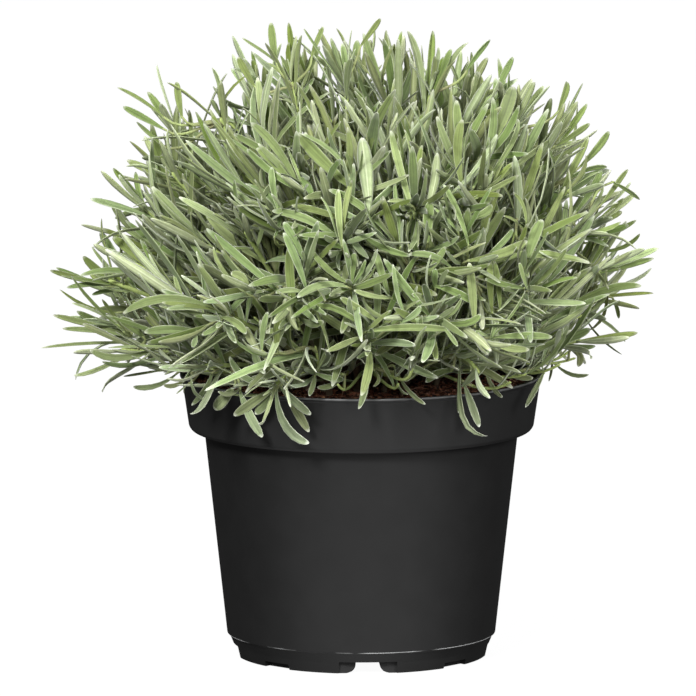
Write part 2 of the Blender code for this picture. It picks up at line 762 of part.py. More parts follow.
def add_blade(points, faces, root, blade):
    """Adds a leaf on the four root corners: lower left, lower right, upper right, upper left."""
    loop = root
    thick = blade["upper"] * (BLADE_THICKNESS * 0.5)
    for centre, (_, share) in zip(blade["points"], BLADE_SECTIONS):
        reach = blade["flat"] * (blade["width"] * 0.5 * share)
        first = len(points)
        points += [centre - reach - thick, centre + reach - thick]
        points += [centre + reach + thick, centre - reach + thick]
        new = [first, first + 1, first + 2, first + 3]
        for k in range(4):
            n = (k + 1) % 4
            a, b, c, d = loop[k], loop[n], new[n], new[k]
            faces += [(a, b, c), (a, c, d)] if k in (0, 1) else [(a, b, d), (b, c, d)]
        loop = new
    points.append(blade["points"][-1])
    tip = len(points) - 1
    faces += [(loop[k], loop[(k + 1) % 4], tip) for k in range(4)]


def stem_mesh(stem):
    """One closed surface: stem, leaves and bud."""
    stations = stem["stations"]
    points, faces, rings = [], [], []
    for station in stations:
        rings.append(range(len(points), len(points) + 4))
        points += ring_corners(station)
    faces.append(tuple(reversed(rings[0])))
    for i in range(len(rings) - 1):
        pair = stations[i][4]
        for face in range(4):
            n = (face + 1) % 4
            low, high = rings[i], rings[i + 1]
            root = [low[face], low[n], high[n], high[face]]
            blade = stem["leaves"].get((pair, face))
            if blade is None:
                faces += [(root[0], root[1], root[2]), (root[0], root[2], root[3])]
            else:
                add_blade(points, faces, root, blade)
    tip, direction = along(stem["line"], 0.0)
    points.append(tip + direction * BUD)
    faces += [(rings[-1][k], rings[-1][(k + 1) % 4], len(points) - 1) for k in range(4)]
    return points, faces


def build_plant():
    source = random.Random(SEED)
    taken = Taken()
    stems = plan_stems(source, taken)
    for stem in stems:
        stem["stations"] = stem_stations(stem)
        stem["roots"] = leaf_roots(stem)
    aim_leaves(stems, source, taken)
    plan_leaves(stems, source, taken)
    for number, stem in enumerate(stems):
        name = f"leafy_stem_{number + 1:02d}"
        points, faces = stem_mesh(stem)
        colour = LEAF_COLOURS[number % len(LEAF_COLOURS)]
        body(name, points, faces, material(f"felted leaf {number + 1:02d}", colour, 0.75))
    print("leaves:", sum(len(stem["leaves"]) for stem in stems))
    return stems


def main():
    clear_scene()
    build_pot()
    build_soil(build_plant())


main()
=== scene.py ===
import math
import random

import bpy
import numpy as np
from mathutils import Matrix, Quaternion, Vector, noise


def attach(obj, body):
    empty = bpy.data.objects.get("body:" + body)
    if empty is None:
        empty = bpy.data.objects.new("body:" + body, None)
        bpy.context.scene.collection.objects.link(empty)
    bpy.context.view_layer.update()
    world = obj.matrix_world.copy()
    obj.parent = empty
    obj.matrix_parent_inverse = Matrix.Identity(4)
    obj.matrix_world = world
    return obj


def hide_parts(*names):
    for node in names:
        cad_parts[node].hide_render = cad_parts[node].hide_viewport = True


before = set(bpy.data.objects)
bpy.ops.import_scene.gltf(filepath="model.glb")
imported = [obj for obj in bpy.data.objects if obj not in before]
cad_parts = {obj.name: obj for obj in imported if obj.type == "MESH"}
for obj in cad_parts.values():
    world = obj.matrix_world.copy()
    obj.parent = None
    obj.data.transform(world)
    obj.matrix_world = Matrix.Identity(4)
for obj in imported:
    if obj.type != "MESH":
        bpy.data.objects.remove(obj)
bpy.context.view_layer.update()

# Potted english lavender: felted leaves in opposite pairs, peat compost, a black moulded nursery pot.
# Tables are in millimetres and degrees, the studio's in metres and degrees; a mesh is made in metres.
mm = 0.001
up = Vector((0.0, 0.0, 1.0))


# Small helpers

def linear(value):  # an sRGB hex colour as linear red, green, blue, alpha
    parts = [int(value[i:i + 2], 16) / 255 for i in (1, 3, 5)]
    return [p / 12.92 if p <= 0.04045 else ((p + 0.055) / 1.055) ** 2.4 for p in parts] + [1.0]


def grain(size):  # texture scale for a pattern of this size in millimetres
    return 1000.0 / size


def addNode(tree, kind, settings=None, links=None):  # links: a socket, or a node for its first output
    node = tree.nodes.new("ShaderNode" + kind)
    for key, value in (settings or {}).items():
        if key == "stops":  # a ramp's places and hex colours
            ramp = node.color_ramp
            while len(ramp.elements) < len(value):
                ramp.elements.new(0.5)
            for element, (place, colour) in zip(ramp.elements, value):
                element.position, element.color = place, linear(colour)
        elif isinstance(key, str) and hasattr(node, key):
            setattr(node, key, value)
        else:
            node.inputs[key].default_value = value
    for key, start in (links or {}).items():
        isSocket = isinstance(start, bpy.types.NodeSocket)
        tree.links.new(start if isSocket else start.outputs[0], node.inputs[key])
    return node


def newMaterial(name):
    made = bpy.data.materials.new(name)
    made.use_nodes = True
    return made, made.node_tree, made.node_tree.nodes["Principled BSDF"]


def finished(made, tree, shader, sockets, values):  # links the sockets and sets what is uniform
    for key, socket in sockets.items():
        tree.links.new(socket, shader.inputs[key])
    for key, value in values.items():
        shader.inputs[key].default_value = value
    return made


def quadBand(low, high, count):  # faces between two rings of points, given by their first points
    return [(low + k, low + (k + 1) % count, high + (k + 1) % count, high + k) for k in range(count)]


def anyWay(source):  # a random step in any direction
    return Vector([source.uniform(-1, 1) for _ in range(3)])


def makePiece(name, points, faces, materials, smooth=True):
    mesh = bpy.data.meshes.new(name)
    mesh.from_pydata([(x * mm, y * mm, z * mm) for x, y, z in points], [], faces)
    for made in materials:
        mesh.materials.append(made)
    mesh.polygons.foreach_set("use_smooth", [smooth] * len(mesh.polygons))
    mesh.update()
    obj = bpy.data.objects.new(name, mesh)
    bpy.context.scene.collection.objects.link(obj)
    return obj


def keep(piece, slot, *nodes):  # parents a finished piece to the root body and hides the imported parts it stands in for
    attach(piece, "root")
    if nodes:
        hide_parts(*nodes)
    return piece


# Studio: pale floor, soft light from the front, camera

studio = {
    "pitch": 8.5,
    "distance": 6.0,
    "aim": (-0.00696, 0.0, 0.1615),
    "lens": 592.9,
    "floorSize": 40.0,
    "floorBase": "#404040",
    "floorGlow": 0.96,
    "front": 0.33,
    "above": 0.44,
    "around": 0.03,
    "below": 0.9,
    "lightAim": (0.0, 0.0, 0.19),
    # place, size and power in watts
    "softboxes": (
        ((-1.1, -2.5, 1.9), 0.7, 118.0),
        ((1.8, -2.0, 1.3), 1.2, 66.0),
        ((0.3, 2.3, 2.9), 1.6, 46.0),
    ),
}


def buildStudio():
    scene = bpy.context.scene
    scene.view_settings.view_transform = "Standard"
    scene.view_settings.look = "None"

    half = studio["floorSize"] / 2
    corners = [(-half, -half, 0.0), (half, -half, 0.0), (half, half, 0.0), (-half, half, 0.0)]
    mesh = bpy.data.meshes.new("paleFloor")
    mesh.from_pydata(corners, [], [(0, 1, 2, 3)])
    floor = bpy.data.objects.new("paleFloor", mesh)
    scene.collection.objects.link(floor)
    floor.visible_diffuse = floor.visible_glossy = False
    painted, tree, shader = newMaterial("matt white painted board")
    shader.inputs["Base Color"].default_value = linear(studio["floorBase"])
    shader.inputs["Roughness"].default_value = 0.9
    shader.inputs["Specular IOR Level"].default_value = 0.0
    shader.inputs["Emission Color"].default_value = (1, 1, 1, 1)
    shader.inputs["Emission Strength"].default_value = studio["floorGlow"]
    mesh.materials.append(painted)

    # the room: bright in front of the plant and above it, dim beside and behind it
    world = bpy.data.worlds.new("studio room")
    scene.world = world
    world.use_nodes = True
    tree = world.node_tree
    background = tree.nodes["Background"]
    place = addNode(tree, "TexCoord")
    axes = addNode(tree, "SeparateXYZ", links={0: place.outputs["Generated"]})
    front = addNode(tree, "MapRange", {"interpolation_type": "SMOOTHSTEP", "From Min": 0.0,
                    "From Max": -1.0, "To Min": 0.0, "To Max": studio["front"]}, {"Value": axes.outputs[1]})
    above = addNode(tree, "MapRange", {"interpolation_type": "SMOOTHSTEP", "From Min": 0.0,
                    "From Max": 1.0, "To Min": 0.0, "To Max": studio["above"]}, {"Value": axes.outputs[2]})
    # the pale floor under everything, as the undersides see it
    below = addNode(tree, "MapRange", {"interpolation_type": "SMOOTHSTEP", "From Min": -0.75,
                    "From Max": -1.0, "To Min": studio["around"], "To Max": studio["below"]},
                    {"Value": axes.outputs[2]})
    both = addNode(tree, "Math", {"operation": "ADD"}, {0: front, 1: above})
    total = addNode(tree, "Math", {"operation": "ADD"}, {0: both, 1: below})
    background.inputs["Color"].default_value = (1, 1, 1, 1)
    tree.links.new(total.outputs[0], background.inputs["Strength"])

    for number, (place, size, power) in enumerate(studio["softboxes"]):
        light = bpy.data.lights.new(f"softbox{number + 1}", "AREA")
        light.size, light.energy = size, power
        lamp = bpy.data.objects.new(light.name, light)
        lamp.location = place
        lamp.rotation_euler = (Vector(studio["lightAim"]) - lamp.location).to_track_quat("-Z", "Y").to_euler()
        scene.collection.objects.link(lamp)

    pitch = math.radians(studio["pitch"])
    data = bpy.data.cameras.new("camera")
    data.sensor_width, data.lens = 36.0, studio["lens"]
    data.clip_end = 100.0
    camera = bpy.data.objects.new("camera", data)
    aim = Vector(studio["aim"])
    camera.location = aim + Vector((0.0, -math.cos(pitch), math.sin(pitch))) * studio["distance"]
    camera.rotation_euler = (math.pi / 2 - pitch, 0.0, 0.0)
    scene.collection.objects.link(camera)
    scene.camera = camera
    print("studio ready")


# Nursery pot

pot = {
    "segments": 192,
    "colour": "#1C1C1C",
    "dusty": "#1E1E1E",
    # pale colour of the painted highlights on the lip, the foot bead and the rim band
    "highlightPaint": "#B9BABA",
    "roughness": 0.44,
    # radius, height and corner radius up the outside, over the lip, and down the inside
    "profile": (
        (0.0, 6.6, 0.0), (50.0, 6.6, 0.3), (50.0, 0.0, 0.5), (65.9, 0.0, 0.5), (67.3, 6.2, 0.8),
        (69.2, 10.7, 0.15), (70.4, 11.5, 0.25), (70.5, 12.4, 0.3), (82.3, 119.5, 0.4), (89.1, 119.5, 0.9),
        (90.35, 121.4, 0.6), (94.05, 146.6, 0.35),
        (95.0, 147.2, 0.35), (95.0, 148.75, 0.35), (94.5, 149.0, 0.2), (93.1, 149.0, 0.25),
        (89.1, 122.0, 0.6), (87.4, 120.7, 0.4), (81.1, 120.7, 0.4), (80.87, 117.5, 0.3), (69.2, 12.6, 0.8),
        (66.2, 8.1, 0.6), (0.0, 8.1, 0.0),
    ),
    "notches": 8,
    "firstNotch": -87.0,
    # reach, half widths at each height, which notches: the opening in the outer wall, the one between the
    # foot blocks behind it, and the low one of every other notch
    "openings": (
        ((63.0, 73.5), ((-2.0, 15.2), (6.0, 15.2), (6.3, 14.9)), 0),
        ((48.0, 64.0), ((-2.0, 11.6), (0.0, 11.2), (0.3, 9.9), (1.0, 8.2), (2.0, 7.2), (3.0, 6.6), (4.5, 6.3),
                        (6.3, 6.2)), 0),
        ((62.0, 73.5), ((-2.0, 8.6), (0.0, 8.5), (2.7, 8.2), (3.0, 7.8)), 1),
    ),
    "drainRadius": 57.0,
    "drainHalf": (3.0, 4.0),
    "drainHeights": (3.0, 12.0),
    "drainSides": 20,
    "cornerSteps": 4,
    "cornerReach": 0.45,
    "sharpAngle": 33.0,
    # painted highlights: height of each line, half its width, strength and how far it is broken up; the two
    # thin lines stand in for the glint on the bead above the foot ring and on the lip, the wide faint one
    # lightens the rim band
    "paintedHighlights": ((11.6, 0.22, 0.9, 1.0), (134.0, 12.9, 0.010, 0.0), (148.5, 0.45, 0.22, 0.3)),
    "streak": 34.0,
    "mouldGrain": 0.5,
    "waviness": 14.0,
}


# injection moulded in a lightly spark-eroded tool: deep black with a soft satin glow
def blackPolypropylene():
    made, tree, shader = newMaterial("moulded black polypropylene")
    spot = addNode(tree, "TexCoord").outputs["Object"]
    # true tool grain is about 0.1 mm; it is drawn five times as coarse so that it can show
    fine = addNode(tree, "TexNoise", {"Scale": grain(pot["mouldGrain"]), "Detail": 3.0}, {"Vector": spot})
    wide = addNode(tree, "TexNoise", {"Scale": grain(pot["waviness"]), "Detail": 4.0}, {"Vector": spot})
    sheen = addNode(tree, "MapRange", {"From Min": 0.3, "From Max": 0.7, "To Min": pot["roughness"] - 0.01,
                    "To Max": pot["roughness"] + 0.015}, {"Value": wide})
    dust = addNode(tree, "MapRange", {"From Min": 0.35, "From Max": 0.75}, {"Value": wide})
    colour = addNode(tree, "Mix", {"data_type": "RGBA", 6: linear(pot["colour"]), 7: linear(pot["dusty"])},
                     {0: dust})
    # painted highlights: pale lines on the lip and, in broken strokes, on the bead above the foot ring, and a
    # faint lightening of the rim band
    height = addNode(tree, "SeparateXYZ", links={0: spot}).outputs[2]
    streaks = addNode(tree, "TexNoise", {"Scale": grain(pot["streak"]), "Detail": 3.0}, {"Vector": spot})
    paintedHighlights = None
    for level, reach, strength, broken in pot["paintedHighlights"]:
        near = addNode(tree, "Math", {"operation": "COMPARE", 1: level * mm, 2: reach * mm}, {0: height})
        strokes = addNode(tree, "MapRange", {"From Min": 0.47, "From Max": 0.56, "To Min": 1.0 - broken,
                          "To Max": 1.0}, {"Value": streaks})
        part = addNode(tree, "Math", {"operation": "MULTIPLY"}, {0: near, 1: strokes})
        part = addNode(tree, "Math", {"operation": "MULTIPLY", 1: strength}, {0: part})
        if paintedHighlights:
            part = addNode(tree, "Math", {"operation": "ADD"}, {0: paintedHighlights, 1: part})
        paintedHighlights = part
    colour = addNode(tree, "Mix", {"data_type": "RGBA", 7: linear(pot["highlightPaint"])},
                     {0: paintedHighlights, 6: colour.outputs[2]})
    bump = addNode(tree, "Bump", {"Strength": 0.12, "Distance": 0.00006}, {"Height": fine})
    return finished(made, tree, shader, {
        "Base Color": colour.outputs[2], "Roughness": sheen.outputs[0], "Normal": bump.outputs[0]},
        {"IOR": 1.49, "Specular IOR Level": 0.5})


def roundedProfile(corners):  # replaces each corner by a short curve of its own radius
    line, steps, share = [], pot["cornerSteps"], pot["cornerReach"]
    for index, (radius, height, corner) in enumerate(corners):
        here = Vector((radius, height))
        if corner == 0.0:
            line.append(here)
            continue
        before = Vector(corners[index - 1][:2]) - here
        after = Vector(corners[index + 1][:2]) - here
        first = here + before.normalized() * min(corner, before.length * share)
        last = here + after.normalized() * min(corner, after.length * share)
        for step in range(steps + 1):
            t = step / steps
            line.append(first * (1 - t) ** 2 + here * (2 * t * (1 - t)) + last * t * t)
    return line


def turned(line, segments):  # a closed body of revolution; the line starts and ends on the axis
    rings = line[1:-1]
    points = [(0.0, 0.0, line[0].y)]
    for ring in rings:
        for i in range(segments):
            turn = 2 * math.pi * (i + 0.5) / segments
            points.append((ring.x * math.cos(turn), ring.x * math.sin(turn), ring.y))
    points.append((0.0, 0.0, line[-1].y))
    last = len(points) - 1
    faces = []
    for i in range(segments):
        j = (i + 1) % segments
        faces.append((0, 1 + j, 1 + i))
        for k in range(len(rings) - 1):
            low, high = 1 + k * segments, 1 + (k + 1) * segments
            faces.append((low + i, low + j, high + j, high + i))
        top = 1 + (len(rings) - 1) * segments
        faces.append((top + i, top + j, last))
    return points, faces


def atBearing(degrees, outward, sideways, height):
    turn = math.radians(degrees)
    c, s = math.cos(turn), math.sin(turn)
    return (outward * c - sideways * s, outward * s + sideways * c, height)


def notchCutter(bearing, reach, levels):  # a channel through the foot ring
    near, far = reach
    points, faces = [], []
    for height, half in levels:
        points += [atBearing(bearing, near, -half, height), atBearing(bearing, far, -half, height),
                   atBearing(bearing, far, half, height), atBearing(bearing, near, half, height)]
    faces.append((3, 2, 1, 0))
    for level in range(len(levels) - 1):
        faces += quadBand(level * 4, level * 4 + 4, 4)
    top = 4 * (len(levels) - 1)
    faces.append((top, top + 1, top + 2, top + 3))
    return makePiece("notch", points, faces, [], smooth=False)


def drainCutter(bearing):  # a rounded hole through the base plate
    along, across = pot["drainHalf"]
    sides, points = pot["drainSides"], []
    for height in pot["drainHeights"]:
        for i in range(sides):
            turn = 2 * math.pi * i / sides
            points.append(atBearing(bearing, pot["drainRadius"] + along * math.cos(turn),
                                    across * math.sin(turn), height))
    faces = [tuple(reversed(range(sides))), tuple(range(sides, 2 * sides))]
    return makePiece("drain", points, faces + quadBand(0, sides, sides), [], smooth=False)


def cutAway(target, cutters):
    group = bpy.data.collections.new("cutters")
    bpy.context.scene.collection.children.link(group)
    for cutter in cutters:
        bpy.context.scene.collection.objects.unlink(cutter)
        group.objects.link(cutter)
    modifier = target.modifiers.new("cut", "BOOLEAN")
    modifier.operation, modifier.solver = "DIFFERENCE", "EXACT"
    modifier.operand_type, modifier.collection = "COLLECTION", group
    graph = bpy.context.evaluated_depsgraph_get()
    carved = bpy.data.meshes.new_from_object(target.evaluated_get(graph))
    target.modifiers.clear()
    target.data = carved
    for cutter in cutters:
        bpy.data.objects.remove(cutter, do_unlink=True)
    bpy.data.collections.remove(group)


def buildPot():
    points, faces = turned(roundedProfile(pot["profile"]), pot["segments"])
    shell = makePiece("nurseryPot", points, faces, [blackPolypropylene()])
    bearings = [pot["firstNotch"] + 360.0 * i / pot["notches"] for i in range(pot["notches"])]
    for reach, levels, start in pot["openings"]:
        cutAway(shell, [notchCutter(b, reach, levels) for b in bearings[start::2]])
    cutAway(shell, [drainCutter(b) for b in bearings])
    shell.data.name = "nurseryPot"
    shell.data.polygons.foreach_set("use_smooth", [True] * len(shell.data.polygons))
    shell.data.set_sharp_from_angle(angle=math.radians(pot["sharpAngle"]))
    keep(shell, "pot", "pot")
    print("pot ready:", len(shell.data.polygons), "faces")


# Peat compost

compost = {
    "edge": 140.8,
    "crown": 144.6,
    "topRadius": 91.25,
    "rings": 74,
    "segments": 220,
    "lumpSize": 9.0,
    "lumpHeight": 1.5,
    "crumbSize": 2.2,
    "crumbHeight": 0.9,
    # outline below the top, radius and height
    "under": ((0.0, 8.45), (65.8, 8.45), (68.85, 12.8), (80.5, 117.5), (80.75, 121.05), (87.0, 121.05),
              (88.75, 122.3)),
    "loose": 1900,
    "looseSize": (0.5, 2.3),
    "fibres": 260,
    "fibreLength": (5.0, 17.0),
    "fibreThick": 0.32,
    "peatShades": ((0.0, "#1C0D07"), (0.45, "#5A3020"), (0.8, "#905A40"), (1.0, "#BC8E6E")),
    "grainShades": ((0.0, "#301A12"), (0.35, "#5E3626"), (0.7, "#8E5C46"), (0.86, "#B48C76"),
                    (0.93, "#BCA796"),
                    (1.0, "#D2C8BA")),
    "seed": 7,
    "edgeRadius": 90.3,
    "settled": 0.6,
    "startHeights": (141.0, 144.0),
    "topAbove": 140.0,
    # how far from the middle loose crumbs are strewn and where they have to end, then the same for the fibres
    "looseReach": (90.0, 89.5),
    "fibreReach": (86.0, 89.0),
    "fibreStations": 8,
    "fibreLift": (0.2, 1.6),
    "fibreCurve": 1.6,
}


def compostHeight(distance):
    share = min(1.0, distance / compost["edgeRadius"])
    return compost["crown"] - (compost["crown"] - compost["edge"]) * share * share


def compostTop(x, y):
    spot = Vector((x, y, 0.0))
    lump = noise.noise(spot / compost["lumpSize"]) * compost["lumpHeight"]
    crumb = noise.turbulence(spot / compost["crumbSize"], 3, False) * compost["crumbHeight"]
    return compostHeight(math.hypot(x, y)) + lump + crumb - compost["settled"]


def peatCompost():  # milled peat with bark fibre, moist: nearly black red-brown crumbs, a few pale grains
    made, tree, shader = newMaterial("moist milled peat compost")
    spot = addNode(tree, "TexCoord").outputs["Object"]
    kind = addNode(tree, "Attribute", {"attribute_name": "grainKind"})
    crumbs = addNode(tree, "TexVoronoi", {"Scale": grain(1.6)}, {"Vector": spot})
    dust = addNode(tree, "TexNoise", {"Scale": grain(0.7), "Detail": 4.0}, {"Vector": spot})
    shade = addNode(tree, "SeparateColor", links={0: crumbs.outputs["Color"]})
    peat = addNode(tree, "ValToRGB", {"stops": compost["peatShades"]}, {0: shade})
    tinted = addNode(tree, "Mix", {"data_type": "RGBA", "blend_type": "OVERLAY", 0: 0.6},
                     {6: peat, 7: dust.outputs["Color"]})
    loose = addNode(tree, "ValToRGB", {"stops": compost["grainShades"]}, {0: kind.outputs["Fac"]})
    isLoose = addNode(tree, "Math", {"operation": "GREATER_THAN", 1: 0.001}, {0: kind.outputs["Fac"]})
    colour = addNode(tree, "Mix", {"data_type": "RGBA"}, {0: isLoose, 6: tinted.outputs[2], 7: loose})
    bump = addNode(tree, "Bump", {"Strength": 0.7, "Distance": 0.0005}, {"Height": dust})
    return finished(made, tree, shader, {"Base Color": colour.outputs[2], "Normal": bump.outputs[0]},
                    {"Roughness": 0.78, "Specular IOR Level": 0.4})


def grainAttribute(piece, values):
    attribute = piece.data.attributes.new("grainKind", "FLOAT", "POINT")
    attribute.data.foreach_set("value", np.asarray(values, np.float32))


def buildCompost(material):
    low, high = compost["startHeights"]
    line = [Vector(p) for p in compost["under"]]
    line += [Vector((compost["topRadius"] * (1 - k / compost["rings"]),
                     low)) for k in range(compost["rings"])]
    points, faces = turned(line + [Vector((0.0, high))], compost["segments"])
    points = [(x, y, compostTop(x, y)) if z > compost["topAbove"] else (x, y, z) for x, y, z in points]
    block = makePiece("peatCompost", points, faces, [material])
    grainAttribute(block, [0.0] * len(block.data.vertices))
    keep(block, "soil", "soil")

    # loose crumbs and fibres on top, most of them out where the leaves leave the surface open
    source = random.Random(compost["seed"])
    ball = [Vector(v).normalized() for v in (
        (1, 0, 0), (-1, 0, 0), (0, 1, 0), (0, -1, 0), (0, 0, 1), (0, 0, -1),
        (1, 1, 0), (1, -1, 0), (-1, 1, 0), (-1, -1, 0), (1, 0, 1), (-1, 0, 1),
        (0, 1, 1), (0, -1, 1), (1, 0, -1), (-1, 0, -1), (0, 1, -1), (0, -1, -1))]
    corner = {}
    for index, v in enumerate(ball):
        corner[tuple(int(math.copysign(1, c)) if abs(c) > 0.1 else 0 for c in v)] = index
    ballFaces = []
    for sx in (1, -1):
        for sy in (1, -1):
            for sz in (1, -1):
                x, y, z = corner[(sx, 0, 0)], corner[(0, sy, 0)], corner[(0, 0, sz)]
                xy, yz, zx = corner[(sx, sy, 0)], corner[(0, sy, sz)], corner[(sx, 0, sz)]
                group = [(x, xy, zx), (y, yz, xy), (z, zx, yz), (xy, yz, zx)]
                ballFaces += group if sx * sy * sz > 0 else [tuple(reversed(f)) for f in group]
    points, faces, kinds = [], [], []
    strewn, end = compost["looseReach"]
    for _ in range(compost["loose"]):
        distance = strewn * math.sqrt(source.uniform(0.02, 1.0))
        turn = source.uniform(0, 2 * math.pi)
        small, large = compost["looseSize"]
        size = small + (large - small) * source.random() ** 2.6
        if distance + size > end:
            distance = end - size
        x, y = distance * math.cos(turn), distance * math.sin(turn)
        middle = Vector((x, y, compostTop(x, y) + size * 0.25))
        spin = Quaternion(anyWay(source).normalized(), source.uniform(0, math.pi))
        squash = Vector((1.0, source.uniform(0.6, 1.0), source.uniform(0.45, 0.85)))
        kind = source.random() ** 1.7 * 0.86 + 0.01
        if size < 1.2 and source.random() < 0.09:
            kind = source.uniform(0.9, 1.0)
        first = len(points)
        for v in ball:
            rough = size * 0.5 * source.uniform(0.72, 1.2)
            points.append(tuple(middle + spin @ Vector(a * b * rough for a, b in zip(v, squash))))
            kinds.append(kind)
        faces += [tuple(first + k for k in f) for f in ballFaces]
    strewn, end = compost["fibreReach"]
    stations = compost["fibreStations"]
    for _ in range(compost["fibres"]):
        distance, turn = strewn * math.sqrt(source.uniform(0.05, 1.0)), source.uniform(0, 2 * math.pi)
        long, heading = source.uniform(*compost["fibreLength"]), source.uniform(0, 2 * math.pi)
        thick, kind = compost["fibreThick"] * source.uniform(0.6, 1.5), source.uniform(0.5, 0.88)
        curve = source.uniform(-compost["fibreCurve"], compost["fibreCurve"])
        x, y = distance * math.cos(turn), distance * math.sin(turn)
        lift = source.uniform(*compost["fibreLift"])
        first = len(points)
        for k in range(stations):
            share = k / (stations - 1)
            angle = heading + curve * share
            if k:
                x, y = x + math.cos(angle) * long / stations, y + math.sin(angle) * long / stations
            reach = math.hypot(x, y)
            if reach > end:
                x, y = x * end / reach, y * end / reach
            z = compostTop(x, y) + thick + lift * math.sin(math.pi * share)
            across = Vector((-math.sin(angle), math.cos(angle), 0.0))
            for a, b in ((-1, 0), (0, -1), (1, 0), (0, 1)):
                points.append(tuple(Vector((x, y, z)) + across * a * thick * 0.5 + up * b * thick * 0.5))
                kinds.append(kind)
        for k in range(stations - 1):
            faces += quadBand(first + k * 4, first + k * 4 + 4, 4)
        faces.append((first + 3, first + 2, first + 1, first))
        top = first + 4 * (stations - 1)
        faces.append((top, top + 1, top + 2, top + 3))
    crumbs = makePiece("compostCrumbs", points, faces, [material])
    grainAttribute(crumbs, kinds)
    keep(crumbs, "soil")
    print("compost ready:", len(faces), "loose faces")


# Leafy stems

plant = {
    "seed": 41,
    "rootDepth": 11.0,
    "stemHalfLow": 1.5,
    "stemHalfHigh": 0.85,
    "bareStations": 2,
    "footSpacing": 8.6,
    "footSpread": 46.0,
    "footJitter": 3.0,
    "pushRounds": 400,
    "pushShare": 0.26,
    "crown": Vector((0.0, 0.0, 150.0)),
    "tipCentre": Vector((0.0, 0.0, 145.0)),
    "lowHandle": 0.36,
    "highHandle": 0.34,
    "stemRoom": 1.35,
    "pathTries": 60,
    # distance of each leaf pair from the shoot tip, leaf length, leaf width, angle from the stem, droop
    "pairs": (
        (1.8, 31.0, 3.4, 15.0, -0.02),
        (7.0, 35.0, 4.1, 28.0, 0.05),
        (14.5, 39.0, 4.6, 41.0, 0.10),
        (25.0, 38.0, 4.6, 52.0, 0.16),
        (38.0, 35.0, 4.4, 61.0, 0.22),
    ),
    "pairHalfHeight": 1.1,
    "bladeSections": (0.36, 0.82),
    "bladeClear": 0.5,
    "bladeRoom": (0.36, 0.5, 0.4),
    "ownRoom": 0.42,
    "lowestLeaf": 142.0,
    "lowestHangingLeaf": 120.0,
    "hangingRise": -0.2,
    "rimClear": 0.6,
    "leanRange": 7.0,
    "swingRange": 12.0,
    "twistRange": 14.0,
    "lengthRange": (0.88, 1.12),
    "widthRange": (0.9, 1.08),
    "droopRange": (-0.05, 0.07),
    "bendBack": 0.7,
    "bendDown": 0.6,
    "swings": 26,
    "loosen": 0.12,
    "shrink": 0.006,
    "endLengths": (0.68, 1.38),
    "endLean": 76.0,
    "endSwing": 42.0,
    "endChoices": 16,
    "endTries": 5,
    "stretchCost": 2.5,
    "turnCost": 0.033,
    "potTop": 149.0,
    "potReach": 95.0,
    # inner radius under the rim, and how far from it a leaf stays
    "potInside": (94.1, 4.0),
    # room over the compost: the least, and what the compost's hole takes
    "overCompost": (0.9, 0.35),
    "firstRise": 2.0,
    # how upright a stem starts, how much more with each try, and how far it varies
    "lean": (0.62, 0.006, 0.08),
    "mostLean": 0.95,
    "steepest": 95.0,
    "leastSpread": 4.0,
    "pathCount": 40,
}

# shoot tips on the outline seen from the front, and how much each one rises
outlineTips = (
    (-124, -28, 165, 0.00), (-127, -10, 175, 0.03), (-124, 32, 183, 0.22), (-131, -8, 198, 0.02),
    (-117, -50, 213, 0.06), (-120, 24, 218, 0.16), (-112, -22, 238, 0.15), (-98, -34, 258, 0.05),
    (-97, 12, 272, 0.16), (-73, -15, 284, 0.15), (-53, 18, 296, 0.08), (-36, -20, 304, 0.15),
    (-8, -24, 303, 0.20), (16, 14, 301, 0.20), (36, -22, 299, 0.20), (57, 18, 294, 0.15),
    (78, -22, 280, 0.18), (100, 14, 265, 0.26), (108, -34, 250, 0.10), (122, 4, 227, 0.06),
    (124, -30, 207, -0.02), (123, 14, 187, 0.00), (114, -32, 170, 0.00),
)
# shoot tips on the side towards the camera; the first two hang over the rim
frontTips = (
    (60, -112, 166, -0.75), (-44, -113, 160, -0.30), (-80, -92, 166, 0.00), (-67, -106, 194, 0.10),
    (-60, -89, 235, 0.15), (-8, -108, 237, 0.25), (27, -100, 254, 0.35), (-31, -80, 270, 0.15),
    (-5, -121, 211, 0.05), (4, -126, 183, 0.00), (38, -119, 198, 0.10), (86, -88, 204, 0.15),
    (62, -84, 250, 0.20),
)
# bearing, elevation and distance of the shoot tips behind
backTips = (
    (28, 12, 128, 0.05), (58, 8, 126, -0.02), (90, 14, 129, 0.02), (122, 8, 126, 0.00),
    (152, 14, 130, 0.05), (36, 37, 146, 0.15), (74, 36, 150, 0.12), (112, 38, 150, 0.12),
    (150, 40, 148, 0.15), (52, 60, 156, 0.18), (96, 58, 156, 0.15), (138, 62, 156, 0.18),
    (92, 80, 156, 0.10),
)
